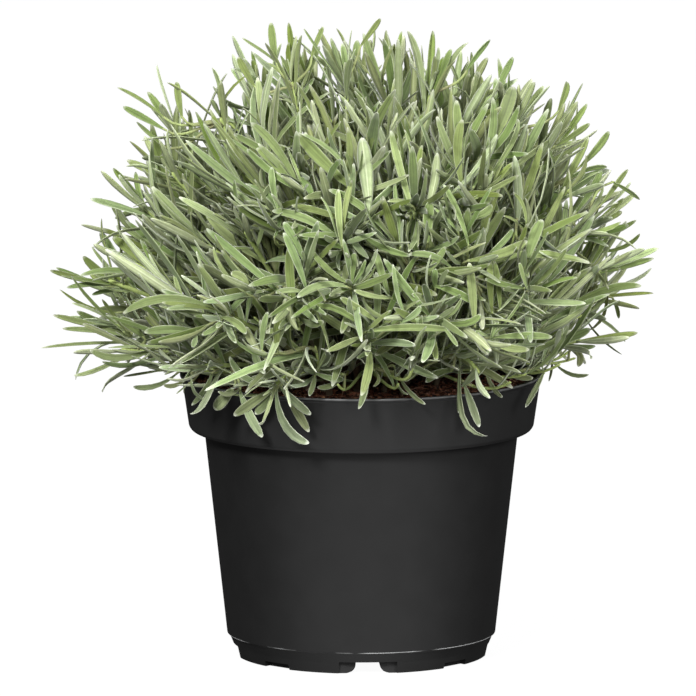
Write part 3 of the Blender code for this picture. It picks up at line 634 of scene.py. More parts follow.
# ends of single leaves on the outline and in front
leafEnds = (
    (-141, -33, 165), (-134, -23, 158), (-160, -37, 168), (-119, -19, 146), (-124, -28, 151),
    (-158, -15, 181), (-156, -5, 173), (-149, -19, 184), (-157, 27, 189), (-151, 37, 193),
    (-135, 23, 183), (-157, -3, 200), (-154, -17, 196), (-141, 1, 190), (-139, -55, 222),
    (-145, -45, 217), (-146, -59, 208), (-147, 19, 224), (-137, 29, 219), (-136, 15, 228),
    (-132, 33, 234), (-128, -27, 239), (-126, -17, 239), (-119, -31, 240), (-118, -13, 242),
    (-123, -39, 256), (-126, -29, 257), (-122, -43, 263), (-122, -25, 264), (-114, -39, 276),
    (-114, -29, 266), (-126, 7, 297), (-125, 17, 287), (-112, 21, 294), (-107, 12, 310),
    (-96, 8, 301), (-101, -20, 304), (-75, -10, 296), (-73, -24, 305), (-90, -6, 288),
    (-70, 13, 305), (-64, 23, 312), (-67, 9, 308), (-62, 27, 321), (-57, 14, 316),
    (-47, -25, 334), (-50, -29, 326), (-39, -11, 328), (-30, -25, 333), (-20, -15, 333),
    (-31, -29, 330), (-5, -29, 333), (10, -19, 335), (-10, -15, 324), (-21, -24, 329),
    (13, 9, 328), (9, 19, 323), (22, 5, 326), (24, -27, 332), (37, -17, 331),
    (40, -31, 324), (56, 13, 321), (44, 23, 314), (47, 9, 318), (67, 27, 320),
    (66, 13, 313), (79, 23, 312), (70, 9, 303), (89, -27, 307), (95, -17, 302),
    (98, -31, 304), (99, -13, 295), (116, 19, 299), (113, 5, 291), (119, -39, 286),
    (118, -29, 277), (129, -43, 282), (112, -25, 274), (119, -34, 269), (128, -39, 263),
    (139, -25, 260), (146, -1, 233), (141, 9, 248), (146, -5, 241), (139, 13, 227),
    (146, -35, 227), (142, -25, 213), (153, -39, 214), (129, -21, 218), (146, 9, 194),
    (135, 19, 194), (135, 5, 177), (118, -37, 179), (122, -27, 167), (129, -41, 193),
    (135, -37, 163), (118, -27, 151), (61, -117, 138), (63, -107, 132), (72, -121, 155),
    (-51, -118, 132), (-28, -122, 145), (-28, -110, 136), (-52, -113, 193), (-42, -117, 167),
    (-77, -97, 147), (-86, -87, 147), (-65, -105, 145), (-95, -83, 152), (-103, -101, 207),
    (-82, -97, 220), (-94, -94, 254), (-66, -98, 286), (-32, -113, 249), (-22, -103, 253),
    (-11, -117, 257), (-6, -99, 260), (18, -105, 295), (31, -109, 283), (23, -91, 272),
    (-32, -126, 206), (-16, -116, 228), (7, -130, 222), (-22, -131, 199), (12, -121, 194),
    (46, -135, 191), (7, -117, 175), (10, -124, 227), (7, -114, 230), (20, -128, 222),
    (113, -93, 233), (67, -83, 207), (101, -97, 220), (83, -79, 220), (67, -89, 288),
    (73, -79, 262), (86, -117, 181), (96, -107, 184), (75, -121, 197), (-63, -85, 284),
    (-58, -75, 291),
)


def shootTips():
    tips = [(Vector((x, y, z)), rise) for x, y, z, rise in outlineTips + frontTips]
    for bearing, elevation, distance, rise in backTips:
        turn, climb = math.radians(bearing), math.radians(elevation)
        flat = math.cos(climb) * distance
        offset = (flat * math.cos(turn), flat * math.sin(turn), math.sin(climb) * distance)
        tips.append((plant["tipCentre"] + Vector(offset), rise))
    return tips


def stemFeet(tips, source):  # spreads the feet over the crown, then pushes them apart
    feet = []
    for tip, _ in tips:
        away = tip - plant["crown"]
        flat = math.hypot(away.x, away.y)
        climb = math.degrees(math.atan2(away.z, flat))
        jitter = source.uniform(-plant["footJitter"], plant["footJitter"])
        reach = plant["footSpread"] * (1.0 - max(0.0, climb) / plant["steepest"]) + jitter
        feet.append(np.array((away.x, away.y)) / flat * max(plant["leastSpread"], reach))
    for _ in range(plant["pushRounds"]):
        for i, first in enumerate(feet):
            for second in feet[i + 1:]:
                gap = first - second
                length = max(1e-6, float(np.hypot(*gap)))
                if length < plant["footSpacing"]:
                    push = gap / length * (plant["footSpacing"] - length) * plant["pushShare"]
                    first += push
                    second -= push
    return feet


def curved(start, first, second, tip, count):
    line = []
    for i in range(count + 1):
        t = i / count
        u = 1.0 - t
        line.append(start * u**3 + first * 3 * u * u * t + second * 3 * u * t * t + tip * t**3)
    return line


def pathPoints(foot, tip, heading, lean):
    start = foot + up * plant["firstRise"]
    length = (tip - start).length
    outward = Vector((tip.x - foot.x, tip.y - foot.y, 0.0))
    first = start + (up * lean + outward.normalized() * (1.0 - lean)) * length * plant["lowHandle"]
    second = tip - heading * length * plant["highHandle"]
    return [foot - up * plant["rootDepth"], foot] + curved(start, first, second, tip, plant["pathCount"])


def closest(first, last, starts, ends):  # least distance from one straight piece to each of many
    along, others, between = last - first, ends - starts, first - starts
    a, e = along @ along, (others * others).sum(1)
    f, c, b = (others * between).sum(1), between @ along, others @ along
    spread = a * e - b * b
    s = np.where(spread > 1e-9, np.clip((b * f - c * e) / np.maximum(spread, 1e-9), 0, 1), 0.0)
    t = np.clip((b * s + f) / e, 0, 1)
    s = np.clip((b * t - c) / a, 0, 1)
    apart = between + s[:, None] * along - t[:, None] * others
    return np.sqrt((apart * apart).sum(1))


class Taken:  # the room that stems and leaves already take, as round-ended rods
    def __init__(self):
        self.rows, self.count = np.zeros((4096, 12)), 0

    def add(self, rods, owner):
        if self.count + len(rods) > len(self.rows):
            self.rows = np.vstack([self.rows, np.zeros_like(self.rows)])
        for first, last, radius in rods:
            first, last = np.array(first), np.array(last)
            reach = np.linalg.norm(last - first) / 2 + radius
            self.rows[self.count] = (*first, *last, radius, owner, *((first + last) / 2), reach)
            self.count += 1

    def clear(self, rods, owner, ownShare, gap=plant["bladeClear"]):
        for index, (first, last, radius) in enumerate(rods):
            first, last = np.array(first), np.array(last)
            rows = self.rows[:self.count]
            reach = np.linalg.norm(last - first) / 2 + radius + gap
            apart = rows[:, 8:11] - (first + last) / 2
            rows = rows[(apart * apart).sum(1) < (rows[:, 11] + reach) ** 2]
            if not len(rows):
                continue
            need = rows[:, 6] + radius + gap
            need = np.where(rows[:, 7] == owner, need * (ownShare if index else 0.0), need)
            if (closest(first, last, rows[:, 0:3], rows[:, 3:6]) < need).any():
                return False
        return True


def offPot(point, radius):
    distance = math.hypot(point[0], point[1])
    if point[2] > plant["potTop"] + radius + plant["rimClear"]:
        return True
    if distance > plant["potReach"] + radius + plant["rimClear"]:
        return True
    wall, away = plant["potInside"]
    least, hole = plant["overCompost"]
    return distance < wall - away - radius and point[2] > compostHeight(distance) + radius + least + hole


def rodsOffPot(rods, lowest=plant["lowestHangingLeaf"]):
    for first, last, radius in rods:
        for share in (0.25, 0.5, 0.75, 1.0):
            point = [a + (b - a) * share for a, b in zip(first, last)]
            if point[2] < lowest or not offPot(point, radius):
                return False
    return True


def stemRods(line):
    rods = []
    picked = line[1::5] + ([line[-1]] if (len(line) - 2) % 5 else [])
    for i in range(len(picked) - 1):
        share = i / max(1, len(picked) - 2)
        radius = plant["stemRoom"] * (plant["stemHalfLow"] * (1 - share) + plant["stemHalfHigh"] * share)
        rods.append((tuple(picked[i]), tuple(picked[i + 1]), radius))
    return rods


def along(line, distance):  # point and direction at this distance back from the line's end
    left = distance
    for i in range(len(line) - 1, 0, -1):
        piece = line[i] - line[i - 1]
        if left <= piece.length:
            return line[i] - piece.normalized() * left, piece.normalized()
        left -= piece.length
    return line[0].copy(), up.copy()


def lineLength(line):
    return sum((b - a).length for a, b in zip(line, line[1:]))


def planStems(source, taken):
    tips = shootTips()
    feet = stemFeet(tips, source)
    stems = []
    for number, ((tip, rise), footAt) in enumerate(zip(tips, feet)):
        distance = float(np.hypot(*footAt))
        foot = Vector((float(footAt[0]), float(footAt[1]), compostHeight(distance)))
        heading = ((tip - plant["crown"]).normalized() + up * rise).normalized()
        upright, step, vary = plant["lean"]
        for attempt in range(plant["pathTries"]):
            lean = min(plant["mostLean"], upright + step * attempt + source.uniform(-vary, vary))
            turned = heading + anyWay(source) * step * attempt
            line = pathPoints(foot, tip, turned.normalized(), lean)
            rods = stemRods(line)
            if taken.clear(rods, number, 0.0) and rodsOffPot(rods[1:]):
                break
        taken.add(rods, number)
        roll = source.uniform(0.0, math.pi / 2)
        side = Vector((math.cos(roll), math.sin(roll), 0.0))
        lowest = plant["lowestHangingLeaf"] if rise < plant["hangingRise"] else plant["lowestLeaf"]
        stems.append({"line": line, "side": side, "lowest": lowest, "leaves": {}, "owner": number})
    return stems


def carried(side, old, new):
    moved = old.rotation_difference(new) @ side
    return (moved - new * moved.dot(new)).normalized()


def stemStations(stem):  # (centre, side, across, half width, pair under way or None)
    line = stem["line"]
    total = lineLength(line)
    marks = [(total, None), (total - plant["rootDepth"], None)]
    lowest = plant["pairs"][-1][0] + plant["pairHalfHeight"]
    bare = total - plant["rootDepth"] - lowest
    for i in range(plant["bareStations"]):
        marks.append((lowest + bare * (1.0 - (i + 1) / (plant["bareStations"] + 1)), None))
    for index in range(len(plant["pairs"]) - 1, -1, -1):
        marks.append((plant["pairs"][index][0] + plant["pairHalfHeight"], index))
        marks.append((plant["pairs"][index][0] - plant["pairHalfHeight"], None))
    stations, side, old = [], stem["side"], up
    for back, pair in marks:
        centre, direction = along(line, back)
        side = carried(side, old, direction)
        old = direction
        share = min(1.0, (total - back) / total)
        half = plant["stemHalfLow"] * (1 - share) + plant["stemHalfHigh"] * share
        stations.append((centre, side, direction.cross(side).normalized(), half, pair))
    return stations


def sag(upper, share):
    return (upper * plant["bendBack"] + up * plant["bendDown"]) * -share


def bladeSides(start, axis, wide, twist):
    flat = (wide - start * wide.dot(start)).normalized()
    upper = flat.cross(start).normalized()
    if upper.dot(axis) < 0:
        upper = -upper
    turn = Quaternion(start, twist)
    return turn @ flat, turn @ upper


def bladeOf(root, lead, bend, flat, upper, width):
    points = [root + lead * u + bend * (u * u) for u in (*plant["bladeSections"], 1.0)]
    return {"root": root, "lead": lead, "bend": bend, "points": points, "flat": flat, "upper": upper,
            "width": width}


def bladeShape(root, outward, axis, wide, spec, source, attempt):
    _, length, width, angle, droop = spec
    loose = 1.0 + plant["loosen"] * attempt
    lean = math.radians(angle + source.uniform(-plant["leanRange"], plant["leanRange"]) * loose)
    swing = math.radians(source.uniform(-plant["swingRange"], plant["swingRange"]) * loose)
    twist = math.radians(source.uniform(-plant["twistRange"], plant["twistRange"]) * loose)
    long = length * source.uniform(*plant["lengthRange"]) * (1.0 - plant["shrink"] * attempt)
    start = (axis * math.cos(lean) + outward * math.sin(lean)).normalized()
    start = Quaternion(axis, swing) @ start
    flat, upper = bladeSides(start, axis, wide, twist)
    bend = sag(upper, droop + source.uniform(*plant["droopRange"])) * long
    return bladeOf(root, start * long, bend, flat, upper, width * source.uniform(*plant["widthRange"]))


def aimedBlade(root, end, axis, wide, spec, source):
    _, _, width, _, droop = spec
    chord = end - root
    twist = math.radians(source.uniform(-plant["twistRange"], plant["twistRange"]))
    flat, upper = bladeSides(chord.normalized(), axis, wide, twist)
    bend = sag(upper, droop + source.uniform(*plant["droopRange"])) * chord.length
    return bladeOf(root, chord - bend, bend, flat, upper, width * source.uniform(*plant["widthRange"]))


def bladeRods(root, blade, share=1.0):
    ends = [tuple(point) for point in [root] + blade["points"]]
    return [(ends[i], ends[i + 1], blade["width"] * room * share) for i,
            room in enumerate(plant["bladeRoom"])]


def facesOf(pair):  # opposite faces of the square stem, turned a quarter from pair to pair
    return (0, 2) if pair % 2 else (1, 3)


def facing(side, across, face):  # the way out of this face and the way along its width
    ways = (across * -1, side, across, side * -1)
    return ways[face], (ways[1:] + ways[:1])[face]


def rootOf(low, high, face):
    centre, half = (low[0] + high[0]) * 0.5, (low[3] + high[3]) * 0.5
    outward, wide = facing(low[1], low[2], face)
    return centre + outward * half, outward, wide, (high[0] - low[0]).normalized()


def leafRoots(stem):
    roots = {}
    for index, station in enumerate(stem["stations"]):
        pair = station[4]
        if pair is not None:
            for face in facesOf(pair):
                roots[(pair, face)] = rootOf(station, stem["stations"][index + 1], face)
    return roots


def endCost(root, end, spec):
    middle, outward, _, axis = root
    chord = end - middle
    share = chord.length / spec[1]
    lean = math.degrees(chord.angle(axis))
    flat = chord - axis * chord.dot(axis)
    swing = math.degrees(flat.angle(outward))
    low, high = plant["endLengths"]
    if not low < share < high or lean > plant["endLean"] or swing > plant["endSwing"]:
        return None
    return abs(math.log(share)) * plant["stretchCost"] + (abs(lean - spec[3]) + swing) * plant["turnCost"]


def settle(stem, number, slot, root, blade, taken):
    rods = bladeRods(root, blade)
    if not (taken.clear(rods, number, plant["ownRoom"]) and rodsOffPot(rods, stem["lowest"])):
        return False
    taken.add(rods, number)
    stem["leaves"][slot] = blade
    return True


def reachEnd(stem, number, slot, end, source, taken):
    pair, face = slot
    root, _, wide, axis = stem["roots"][(pair, face)]
    for _ in range(plant["endTries"]):
        blade = aimedBlade(root, end, axis, wide, plant["pairs"][pair], source)
        if settle(stem, number, (pair, face), root, blade, taken):
            return True
    return False


def aimLeaves(stems, source, taken):
    reached = 0
    for point in leafEnds:
        end = Vector(point)
        costs = []
        for number, stem in enumerate(stems):
            for (pair, face), root in stem["roots"].items():
                cost = None if (pair, face) in stem["leaves"] else endCost(root, end, plant["pairs"][pair])
                if cost is not None:
                    costs.append((cost, number, pair, face))
        choices = (choice[1:] for choice in sorted(costs)[:plant["endChoices"]])
        reached += any(reachEnd(stems[number], number, slot, end, source, taken) for number, *slot in choices)
    print("leaf ends reached:", reached, "of", len(leafEnds))


def planLeaves(stems, source, taken):
    for pair in range(len(plant["pairs"])):
        for number, stem in enumerate(stems):
            for face in facesOf(pair):
                if (pair, face) in stem["leaves"]:
                    continue
                root, outward, wide, axis = stem["roots"][(pair, face)]
                for attempt in range(plant["swings"]):
                    blade = bladeShape(root, outward, axis, wide, plant["pairs"][pair], source, attempt)
                    if settle(stem, number, (pair, face), root, blade, taken):
                        break


# Finer growth on the same stems: side shoots, axil leaves, old leaves, young tips

growth = {
    "seed": 5,
    "outerShoots": 112,
    "innerShoots": 108,
    "outerReach": (0.78, 0.985),
    "innerReach": (0.46, 0.74),
    "directions": 2400,
    "sideHalf": (0.8, 0.55),
    "branchBacks": (30.0, 38.0, 46.0, 55.0, 66.0, 78.0, 92.0),
    "branchLowest": 152.0,
    "branchLengths": (22.0, 96.0),
    "branchTurn": 70.0,
    # what makes a branch dear: its turn from the stem, a length unlike the stem's above it, its length, and
    # its turn from the way the shoot is heading
    "branchCosts": (26.0, 40.0, 80.0, 22.0),
    # the same columns as the plant's pairs
    "sidePairs": (
        (-1.0, 14.0, 2.3, 5.0, 0.0),
        (0.8, 27.0, 3.3, 10.0, 0.0),
        (3.6, 38.0, 4.0, 16.0, 0.0),
        (9.5, 46.0, 4.6, 24.0, 0.02),
        (18.0, 49.0, 5.0, 31.0, 0.05),
        (28.0, 47.0, 4.8, 40.0, 0.09),
        (38.5, 42.0, 4.4, 50.0, 0.15),
        (50.0, 36.0, 4.0, 60.0, 0.22),
    ),
    "tipPairs": (
        (-1.8, 11.0, 2.2, 5.0, 0.0),
        (0.2, 20.0, 3.0, 10.0, 0.0),
    ),
    "twigPairs": (
        (9.0, 30.0, 3.3, 26.0, 0.04),
        (17.0, 37.0, 3.9, 33.0, 0.08),
        (26.0, 38.0, 4.0, 40.0, 0.12),
        (36.0, 35.0, 3.9, 48.0, 0.18),
        (48.0, 31.0, 3.7, 56.0, 0.24),
    ),
    "lowerPairs": (
        (50.0, 35.0, 4.8, 62.0, 0.20),
        (60.0, 33.0, 4.6, 68.0, 0.24),
        (71.0, 31.0, 4.4, 76.0, 0.28),
        (83.0, 29.0, 4.2, 82.0, 0.32),
        (96.0, 27.0, 4.0, 88.0, 0.36),
        (109.0, 25.0, 3.7, 92.0, 0.40),
        (123.0, 23.0, 3.4, 96.0, 0.44),
        (137.0, 21.0, 3.1, 98.0, 0.48),
    ),
    "axilShare": 0.45,
    "axilLength": (9.0, 23.0),
    "axilWidth": (1.9, 3.1),
    # millimetres across, and degrees that shoots there lean to the left of upright
    "fan": (
        (-130.0, 52.0), (-92.0, 46.0), (-56.0, 40.0), (-19.0, 29.0), (18.0, 8.0), (54.0, -28.0),
        (91.0, -40.0), (128.0, -47.0),
    ),
    "fanHeights": (145.0, 188.0),
    # dark gaps seen from the front: millimetres across, up and radius
    "gaps": (
        (-57.2, 249.2, 5.8), (-21.6, 243.5, 4.7), (-37.8, 238.2, 6.0), (-44.1, 207.9, 11.5),
        (72.6, 218.4, 9.5), (75.7, 197.4, 5.5), (27.1, 193.8, 5.2), (20.8, 183.3, 4.7),
        (-56.2, 176.5, 9.5), (-13.2, 169.2, 6.3), (-29.5, 166.5, 7.3), (17.1, 162.9, 7.3),
        (-40.5, 154.5, 5.8), (-62.4, 151.9, 5.8), (-81.8, 143.5, 6.3), (30.7, 261.8, 4.2),
    ),
    "gapDepth": 0.48,
    "gapsBefore": 20.0,
    # no fine leaf ends further to the front or the back than this
    "deepest": 158.0,
    "domeRadii": (150.0, 150.0, 180.0),
    # how far the foliage is dense, and how far its last tips reach, from the outline's centre,
    # every four degrees from the right
    "outlineCentre": (-0.7, 143.0),
    "outlineStep": 4.0,
    "dense": (
        94, 100, 102, 111, 112, 138, 145, 142, 152, 163, 165, 165, 164, 176, 170, 175, 172, 172, 177, 172,
        177, 177, 172, 173, 170, 177, 180, 175, 169, 161, 160, 176, 178, 161, 155, 149, 140, 150, 151, 147,
        139, 130, 148, 118, 102, 94, 94,
    ),
    "far": (
        119, 134, 136, 140, 142, 155, 165, 166, 173, 175, 177, 182, 180, 193, 189, 182, 186, 189, 186, 180,
        186, 184, 188, 182, 186, 186, 191, 189, 181, 171, 183, 197, 197, 189, 166, 165, 160, 158, 167, 159,
        171, 165, 163, 165, 165, 124, 118,
    ),
    "rootDepth": 0.45,
    "thinRoom": 0.40,
    "thinClear": 0.10,
    "tries": 10,
    # seen from the front, the added leaves stay above this line: millimetres across and up
    "lowEdge": (
        (-157.7, 169.2), (-136.8, 158.7), (-115.8, 149.3), (-94.9, 138.8), (-76.6, 130.4), (-58.3, 132.5),
        (-32.1, 138.0), (-19.0, 147.5), (-8.5, 151.5), (41.2, 151.0), (49.0, 147.0), (72.6, 147.5),
        (83.1, 150.5), (96.1, 149.3), (104.0, 158.0), (109.5, 163.0), (114.7, 169.0), (119.9, 177.0),
        (125.0, 184.0), (135.0, 190.0), (146.0, 197.0), (166.8, 205.0),
    ),
    # where leaves begin to count as low, and over how many millimetres they become wholly so
    "lowFine": (188.0, 34.0),
    "lowFull": (175.0, 50.0),
    "lowestFine": 147.0,
    "lowestShoot": 158.0,
    # half width of the stem under the leaves, and their ages from the first pair to the last
    "twigLeaves": (0.6, (0.35, 0.75)),
    "tipLeaves": (0.8, (0.02, 0.10)),
    "lowerLeaves": (1.1, (0.55, 1.1)),
    "shootHalf": 0.7,
    "shootRadius": 0.8,
    "twigRadius": 0.7,
    "stemRadius": 0.7,
    # how barked each kind of stem is at its foot and its tip
    "stemAges": (0.95, 0.05),
    "shootAges": (0.45, 0.02),
    "twigAges": (0.55, 0.42),
    "outerAges": (0.04, 0.60),
    "innerAges": (0.45, 1.0),
    "stemAxils": (13.0, 24.0, 37.0, 49.0, 60.0, 72.0),
    "shootAxils": (15.0, 25.0, 36.0),
    # the lowest millimetres of a branch carry no pair, and those of a side shoot no axil leaf
    "bareFoot": (5.0, 6.0),
    # twigs that end further back than this are at the outline and stay bare
    "bareBehind": -40.0,
    "heart": Vector((0.0, 0.0, 165.0)),
    "anchorStep": 4.0,
    "anchorLowest": 149.0,
    # how close two measured roots share one twig
    "sharedTwig": 3.6,
    # how close, seen from the front and in depth, a measured leaf stands in for a planned one
    "standIn": (4.2, 70),
}


def leafFrame(centre, direction, side, half, face):
    outward, wide = facing(side, direction.cross(side).normalized(), face)
    return centre + outward * half * growth["rootDepth"], outward, wide, direction


def sidesAlong(line, side, backs):  # centre, direction and side at each distance back from the tip
    found, old = [], None
    for back in sorted(backs, reverse=True):
        centre, direction = along(line, max(0.0, back))
        if back < 0.0:
            centre = centre - direction * back
        if old is None:
            side = (side - direction * side.dot(direction)).normalized()
        else:
            side = carried(side, old, direction)
        old = direction
        found.append((back, centre, direction, side))
    return found


def seenAt(point):  # millimetres across and up as seen from the front
    tilt = math.radians(studio["pitch"])
    return point[0], point[1] * math.sin(tilt) + point[2] * math.cos(tilt)


leafHabit = {
    # the greatest age of a leaf at the surface and how much it grows inwards, how much less of that counts low
    # down, and how much darker the inner leaves are painted: painted shade of the plant's interior
    "surfaceAge": 0.36,
    "innerAge": 1.7,
    "lowOpen": 0.55,
    "paintedInnerShade": 0.8,
    # spread of a leaf's curl, sweep and spin; the second number is what age over oldFrom adds
    "oldFrom": 0.55,
    "curl": (0.16, 0.5),
    "sweep": 0.07,
    "spin": (0.28, 1.2),
    # how far young leaves fold up along the midrib, how that varies, and how far old ones lie open
    "fold": 0.62,
    "foldRange": (0.35, 1.3),
    "open": 0.10,
    # bow and sway of a fine leaf: the mean and what age takes from it, then the spread and what age and a low
    # place add to it
    "bentFrom": 0.5,
    "bow": (0.05, 0.34, 0.26, 0.3, 0.3),
    "sway": (0.15, 0.2, 0.16),
    "lift": (0.10, 0.36),
    "widthSpread": 0.14,
    "lowNarrow": 0.32,
}


def lowness(height, start, span):  # 0 at this height and above, 1 where it is lower by the span
    return min(1.0, max(0.0, start - height) / span)


def insideOutline(rods, share):  # the share says how far beyond the dense part this leaf may reach
    edge = list(zip(*growth["lowEdge"]))
    for _, last, _ in rods:
        x, height = seenAt(last)
        if height < np.interp(x, *edge) or abs(last[1]) > growth["deepest"]:
            return False
        dx, dz = x - growth["outlineCentre"][0], height - growth["outlineCentre"][1]
        place = math.degrees(math.atan2(dz, dx)) / growth["outlineStep"]
        if 0.0 < place < len(growth["far"]) - 1:
            dense, far = (growth[key][round(place)] for key in ("dense", "far"))
            if math.hypot(dx, dz) > dense + (far - dense) * share:
                return False
    return True


def buried(point):  # 0 at the plant's surface, 1 at its heart
    parts = zip((point[0], point[1], point[2] - 150.0), growth["domeRadii"])
    return 1.0 - math.sqrt(sum((part / radius) ** 2 for part, radius in parts))


def outsideGaps(rods):
    for first, last, _ in rods:
        middle = [(a + b) / 2 for a, b in zip(first, last)]
        x, height = seenAt(middle)
        if middle[1] > growth["gapsBefore"] or 1.0 - buried(middle) < growth["gapDepth"]:
            continue
        if any(math.hypot(x - gap[0], height - gap[1]) < gap[2] for gap in growth["gaps"]):
            return False
    return True


def shootDirections(count, taken, weights):  # the directions over the dome furthest from the shoots there
    heads = np.array([tuple(tip.normalized()) for tip in taken])
    reaches = np.array([tip.length for tip in taken])
    golden = math.pi * (3.0 - math.sqrt(5.0))
    spots = []
    for i in range(growth["directions"]):
        z = 1.0 - 1.04 * (i + 0.5) / growth["directions"]
        flat = math.sqrt(max(0.0, 1.0 - z * z))
        spots.append((flat * math.cos(golden * i), flat * math.sin(golden * i), z))
    spots = np.array(spots)
    apart = np.arccos(np.clip(spots @ heads.T, -1, 1))
    weight = np.exp(-((apart / math.radians(14.0)) ** 2)) + 1e-9
    reach = (weight * reaches).sum(1) / weight.sum(1)
    nearest = apart.min(1) * reach
    chosen = []
    for _ in range(count):
        best = int((nearest * weights(spots)).argmax())
        nearest = np.minimum(nearest, np.arccos(np.clip(spots @ spots[best], -1, 1)) * reach)
        chosen.append((Vector(spots[best]), float(reach[best])))
    return chosen


def shootHeading(tip, source):  # high on the dome the shoots fan out as one, below they point outwards
    outward = (tip - plant["crown"]).normalized() + up * source.uniform(-0.05, 0.3)
    places, leans = zip(*growth["fan"])
    lean = math.radians(np.interp(tip.x, places, leans) + source.gauss(0.0, 12.0))
    fanned = Vector((-math.sin(lean), tip.y / 150.0 * 0.45 + source.gauss(0.0, 0.16), math.cos(lean)))
    low, high = growth["fanHeights"]
    share = min(1.0, max(0.0, (tip.z - low) / (high - low)))
    return (outward.normalized() * (1.0 - share) + fanned.normalized() * share).normalized()


def branchFrom(stems, tip, heading):  # the stem and place on it from which a side shoot reaches the tip best
    best = None
    for stem in stems:
        for back in growth["branchBacks"]:
            start, direction = along(stem["line"], back)
            way = tip - start
            shortest, longest = growth["branchLengths"]
            if start.z < growth["branchLowest"] or not shortest < way.length < longest:
                continue
            turn = math.degrees(way.angle(direction))
            bend, unlike, long, aside = growth["branchCosts"]
            cost = turn / bend + abs(way.length - back) / unlike + way.length / long
            cost += math.degrees(way.angle(heading)) / aside
            if turn < growth["branchTurn"] and (best is None or cost < best[0]):
                best = (cost, stem, start, direction)
    return best


def thinRods(line, first, last, radius):  # every second piece of a side shoot or twig
    return [(tuple(line[i]), tuple(line[i + 2]), radius) for i in range(first, last, 2)]


def planShoots(stems, aims, reachRange, pairs, ages, source, thin):
    shoots = []
    for spot, reach in aims:
        tip = plant["tipCentre"] + spot * reach * source.uniform(*reachRange)
        tip.z = max(tip.z, growth["lowestShoot"])
        heading = shootHeading(tip, source)
        found = branchFrom(stems, tip, heading)
        roll, size = source.uniform(0.0, math.pi), source.uniform(0.8, 1.22)
        if found is None:
            continue
        _, stem, start, direction = found
        way = tip - start
        for attempt in range(growth["tries"]):
            turned = heading + anyWay(source) * 0.03 * attempt
            first = start + (direction * 0.65 + way.normalized() * 0.35).normalized() * way.length * 0.36
            line = curved(start, first, tip - turned.normalized() * way.length * 0.42, tip, 16)
            rods = thinRods(line, 2, 15, growth["shootRadius"])
            if thin.clear(rods, stem["owner"], 0.35, growth["thinClear"]) and rodsOffPot(rods, 148.0):
                break
        thin.add(rods, stem["owner"])
        side = Vector((math.cos(roll), math.sin(roll), 0.3)).normalized()
        shoots.append({"line": line, "side": side, "owner": stem["owner"], "size": size, "pairs": pairs,
                       "length": lineLength(line), "ages": ages})
    return shoots


def thinLeaf(blade, owner, thin, lowest, share=0.5):
    rods = bladeRods(blade["root"], blade, growth["thinRoom"])
    seen = insideOutline(rods, share) and outsideGaps(rods)
    if seen and rodsOffPot(rods, lowest) and thin.clear(rods, owner, 0.3, growth["thinClear"]):
        thin.add(rods, owner)
        return True
    return False


def agedBlade(blade, age, source, detail="half"):  # adds what only the finer leaf shows
    low = lowness(blade["root"].z, *growth["lowFine"])
    depth = max(0.0, buried(blade["points"][1])) * (1.0 - leafHabit["lowOpen"] * low)
    most = leafHabit["surfaceAge"] + leafHabit["innerAge"] * depth  # only buried leaves age far
    age = min(1.0, max(0.0, age), most)
    old = max(0.0, age - leafHabit["oldFrom"])
    blade["age"], blade["detail"] = age, detail
    # painted shade: leaves deep inside the plant get a darker tone
    blade["tone"] = source.random() * (1.0 - leafHabit["paintedInnerShade"] * depth)
    blade["phase"] = source.random()
    (curl, oldCurl), (spin, oldSpin) = leafHabit["curl"], leafHabit["spin"]
    blade["curl"] = source.gauss(0.0, curl + oldCurl * old)
    blade["sweep"] = source.gauss(0.0, leafHabit["sweep"])
    blade["spin"] = source.gauss(0.0, spin + oldSpin * old)
    fold = leafHabit["fold"] * (1.0 - age)
    blade["fold"] = fold * source.uniform(*leafHabit["foldRange"]) - leafHabit["open"]
    return blade


def fineBlade(root, outward, axis, wide, spec, age, source, attempt):
    blade = bladeShape(root, outward, axis, wide, spec, source, attempt)
    long, old = blade["lead"].length, max(0.0, age - leafHabit["bentFrom"])
    low = lowness(root.z, *growth["lowFine"])  # low leaves are narrow and bend most
    mean, less, spread, oldMore, lowMore = leafHabit["bow"]
    curve = source.gauss(mean - less * old, spread + oldMore * old + lowMore * low)
    spread, oldMore, lowMore = leafHabit["sway"]
    sway = source.gauss(0.0, spread + oldMore * old + lowMore * low)
    lift = leafHabit["lift"][0] - leafHabit["lift"][1] * old
    bend = blade["bend"] + (blade["upper"] * curve + blade["flat"] * sway + up * lift) * long
    width = blade["width"] * math.exp(source.gauss(0.0, leafHabit["widthSpread"]))
    width *= 1.0 - leafHabit["lowNarrow"] * low
    return bladeOf(root, blade["lead"], bend, blade["flat"], blade["upper"], width)


# leaf pairs of a table along a stem, side shoot or twig; the first pair's faces are given by first
def growPairs(branch, table, size, half, first, ages, lowest, source, thin, jitter=0.0, detail="half"):
    leaves, arch = [], source.gauss(0.0, 0.14)
    length = lineLength(branch["line"]) - growth["bareFoot"][0]
    specs = [(spec[0] + (source.uniform(-jitter, jitter) if jitter else 0.0), spec) for spec in table]
    specs = [(back, index, spec) for index, (back, spec) in enumerate(specs) if back < length]
    found = sidesAlong(branch["line"], branch["side"], [back for back, _, _ in specs])
    frames = {back: rest for back, *rest in found}
    for back, index, spec in specs:
        centre, direction, turned = frames[back]
        share = index / max(1, len(table) - 1)
        for face in facesOf(index + first):
            root, outward, wide, axis = leafFrame(centre, direction, turned, half, face)
            age = ages[0] + (ages[1] - ages[0]) * share + source.gauss(0.0, 0.07)
            beyond = source.random() ** 1.6
            for attempt in range(growth["tries"]):
                scaled = (spec[0], spec[1] * size, spec[2] * (0.5 + 0.5 * size), spec[3], spec[4] + arch)
                blade = fineBlade(root, outward, axis, wide, scaled, age, source, attempt * 1.6)
                if thinLeaf(blade, branch["owner"], thin, lowest, beyond):
                    leaves.append(agedBlade(blade, age, source, detail))
                    break
    return leaves


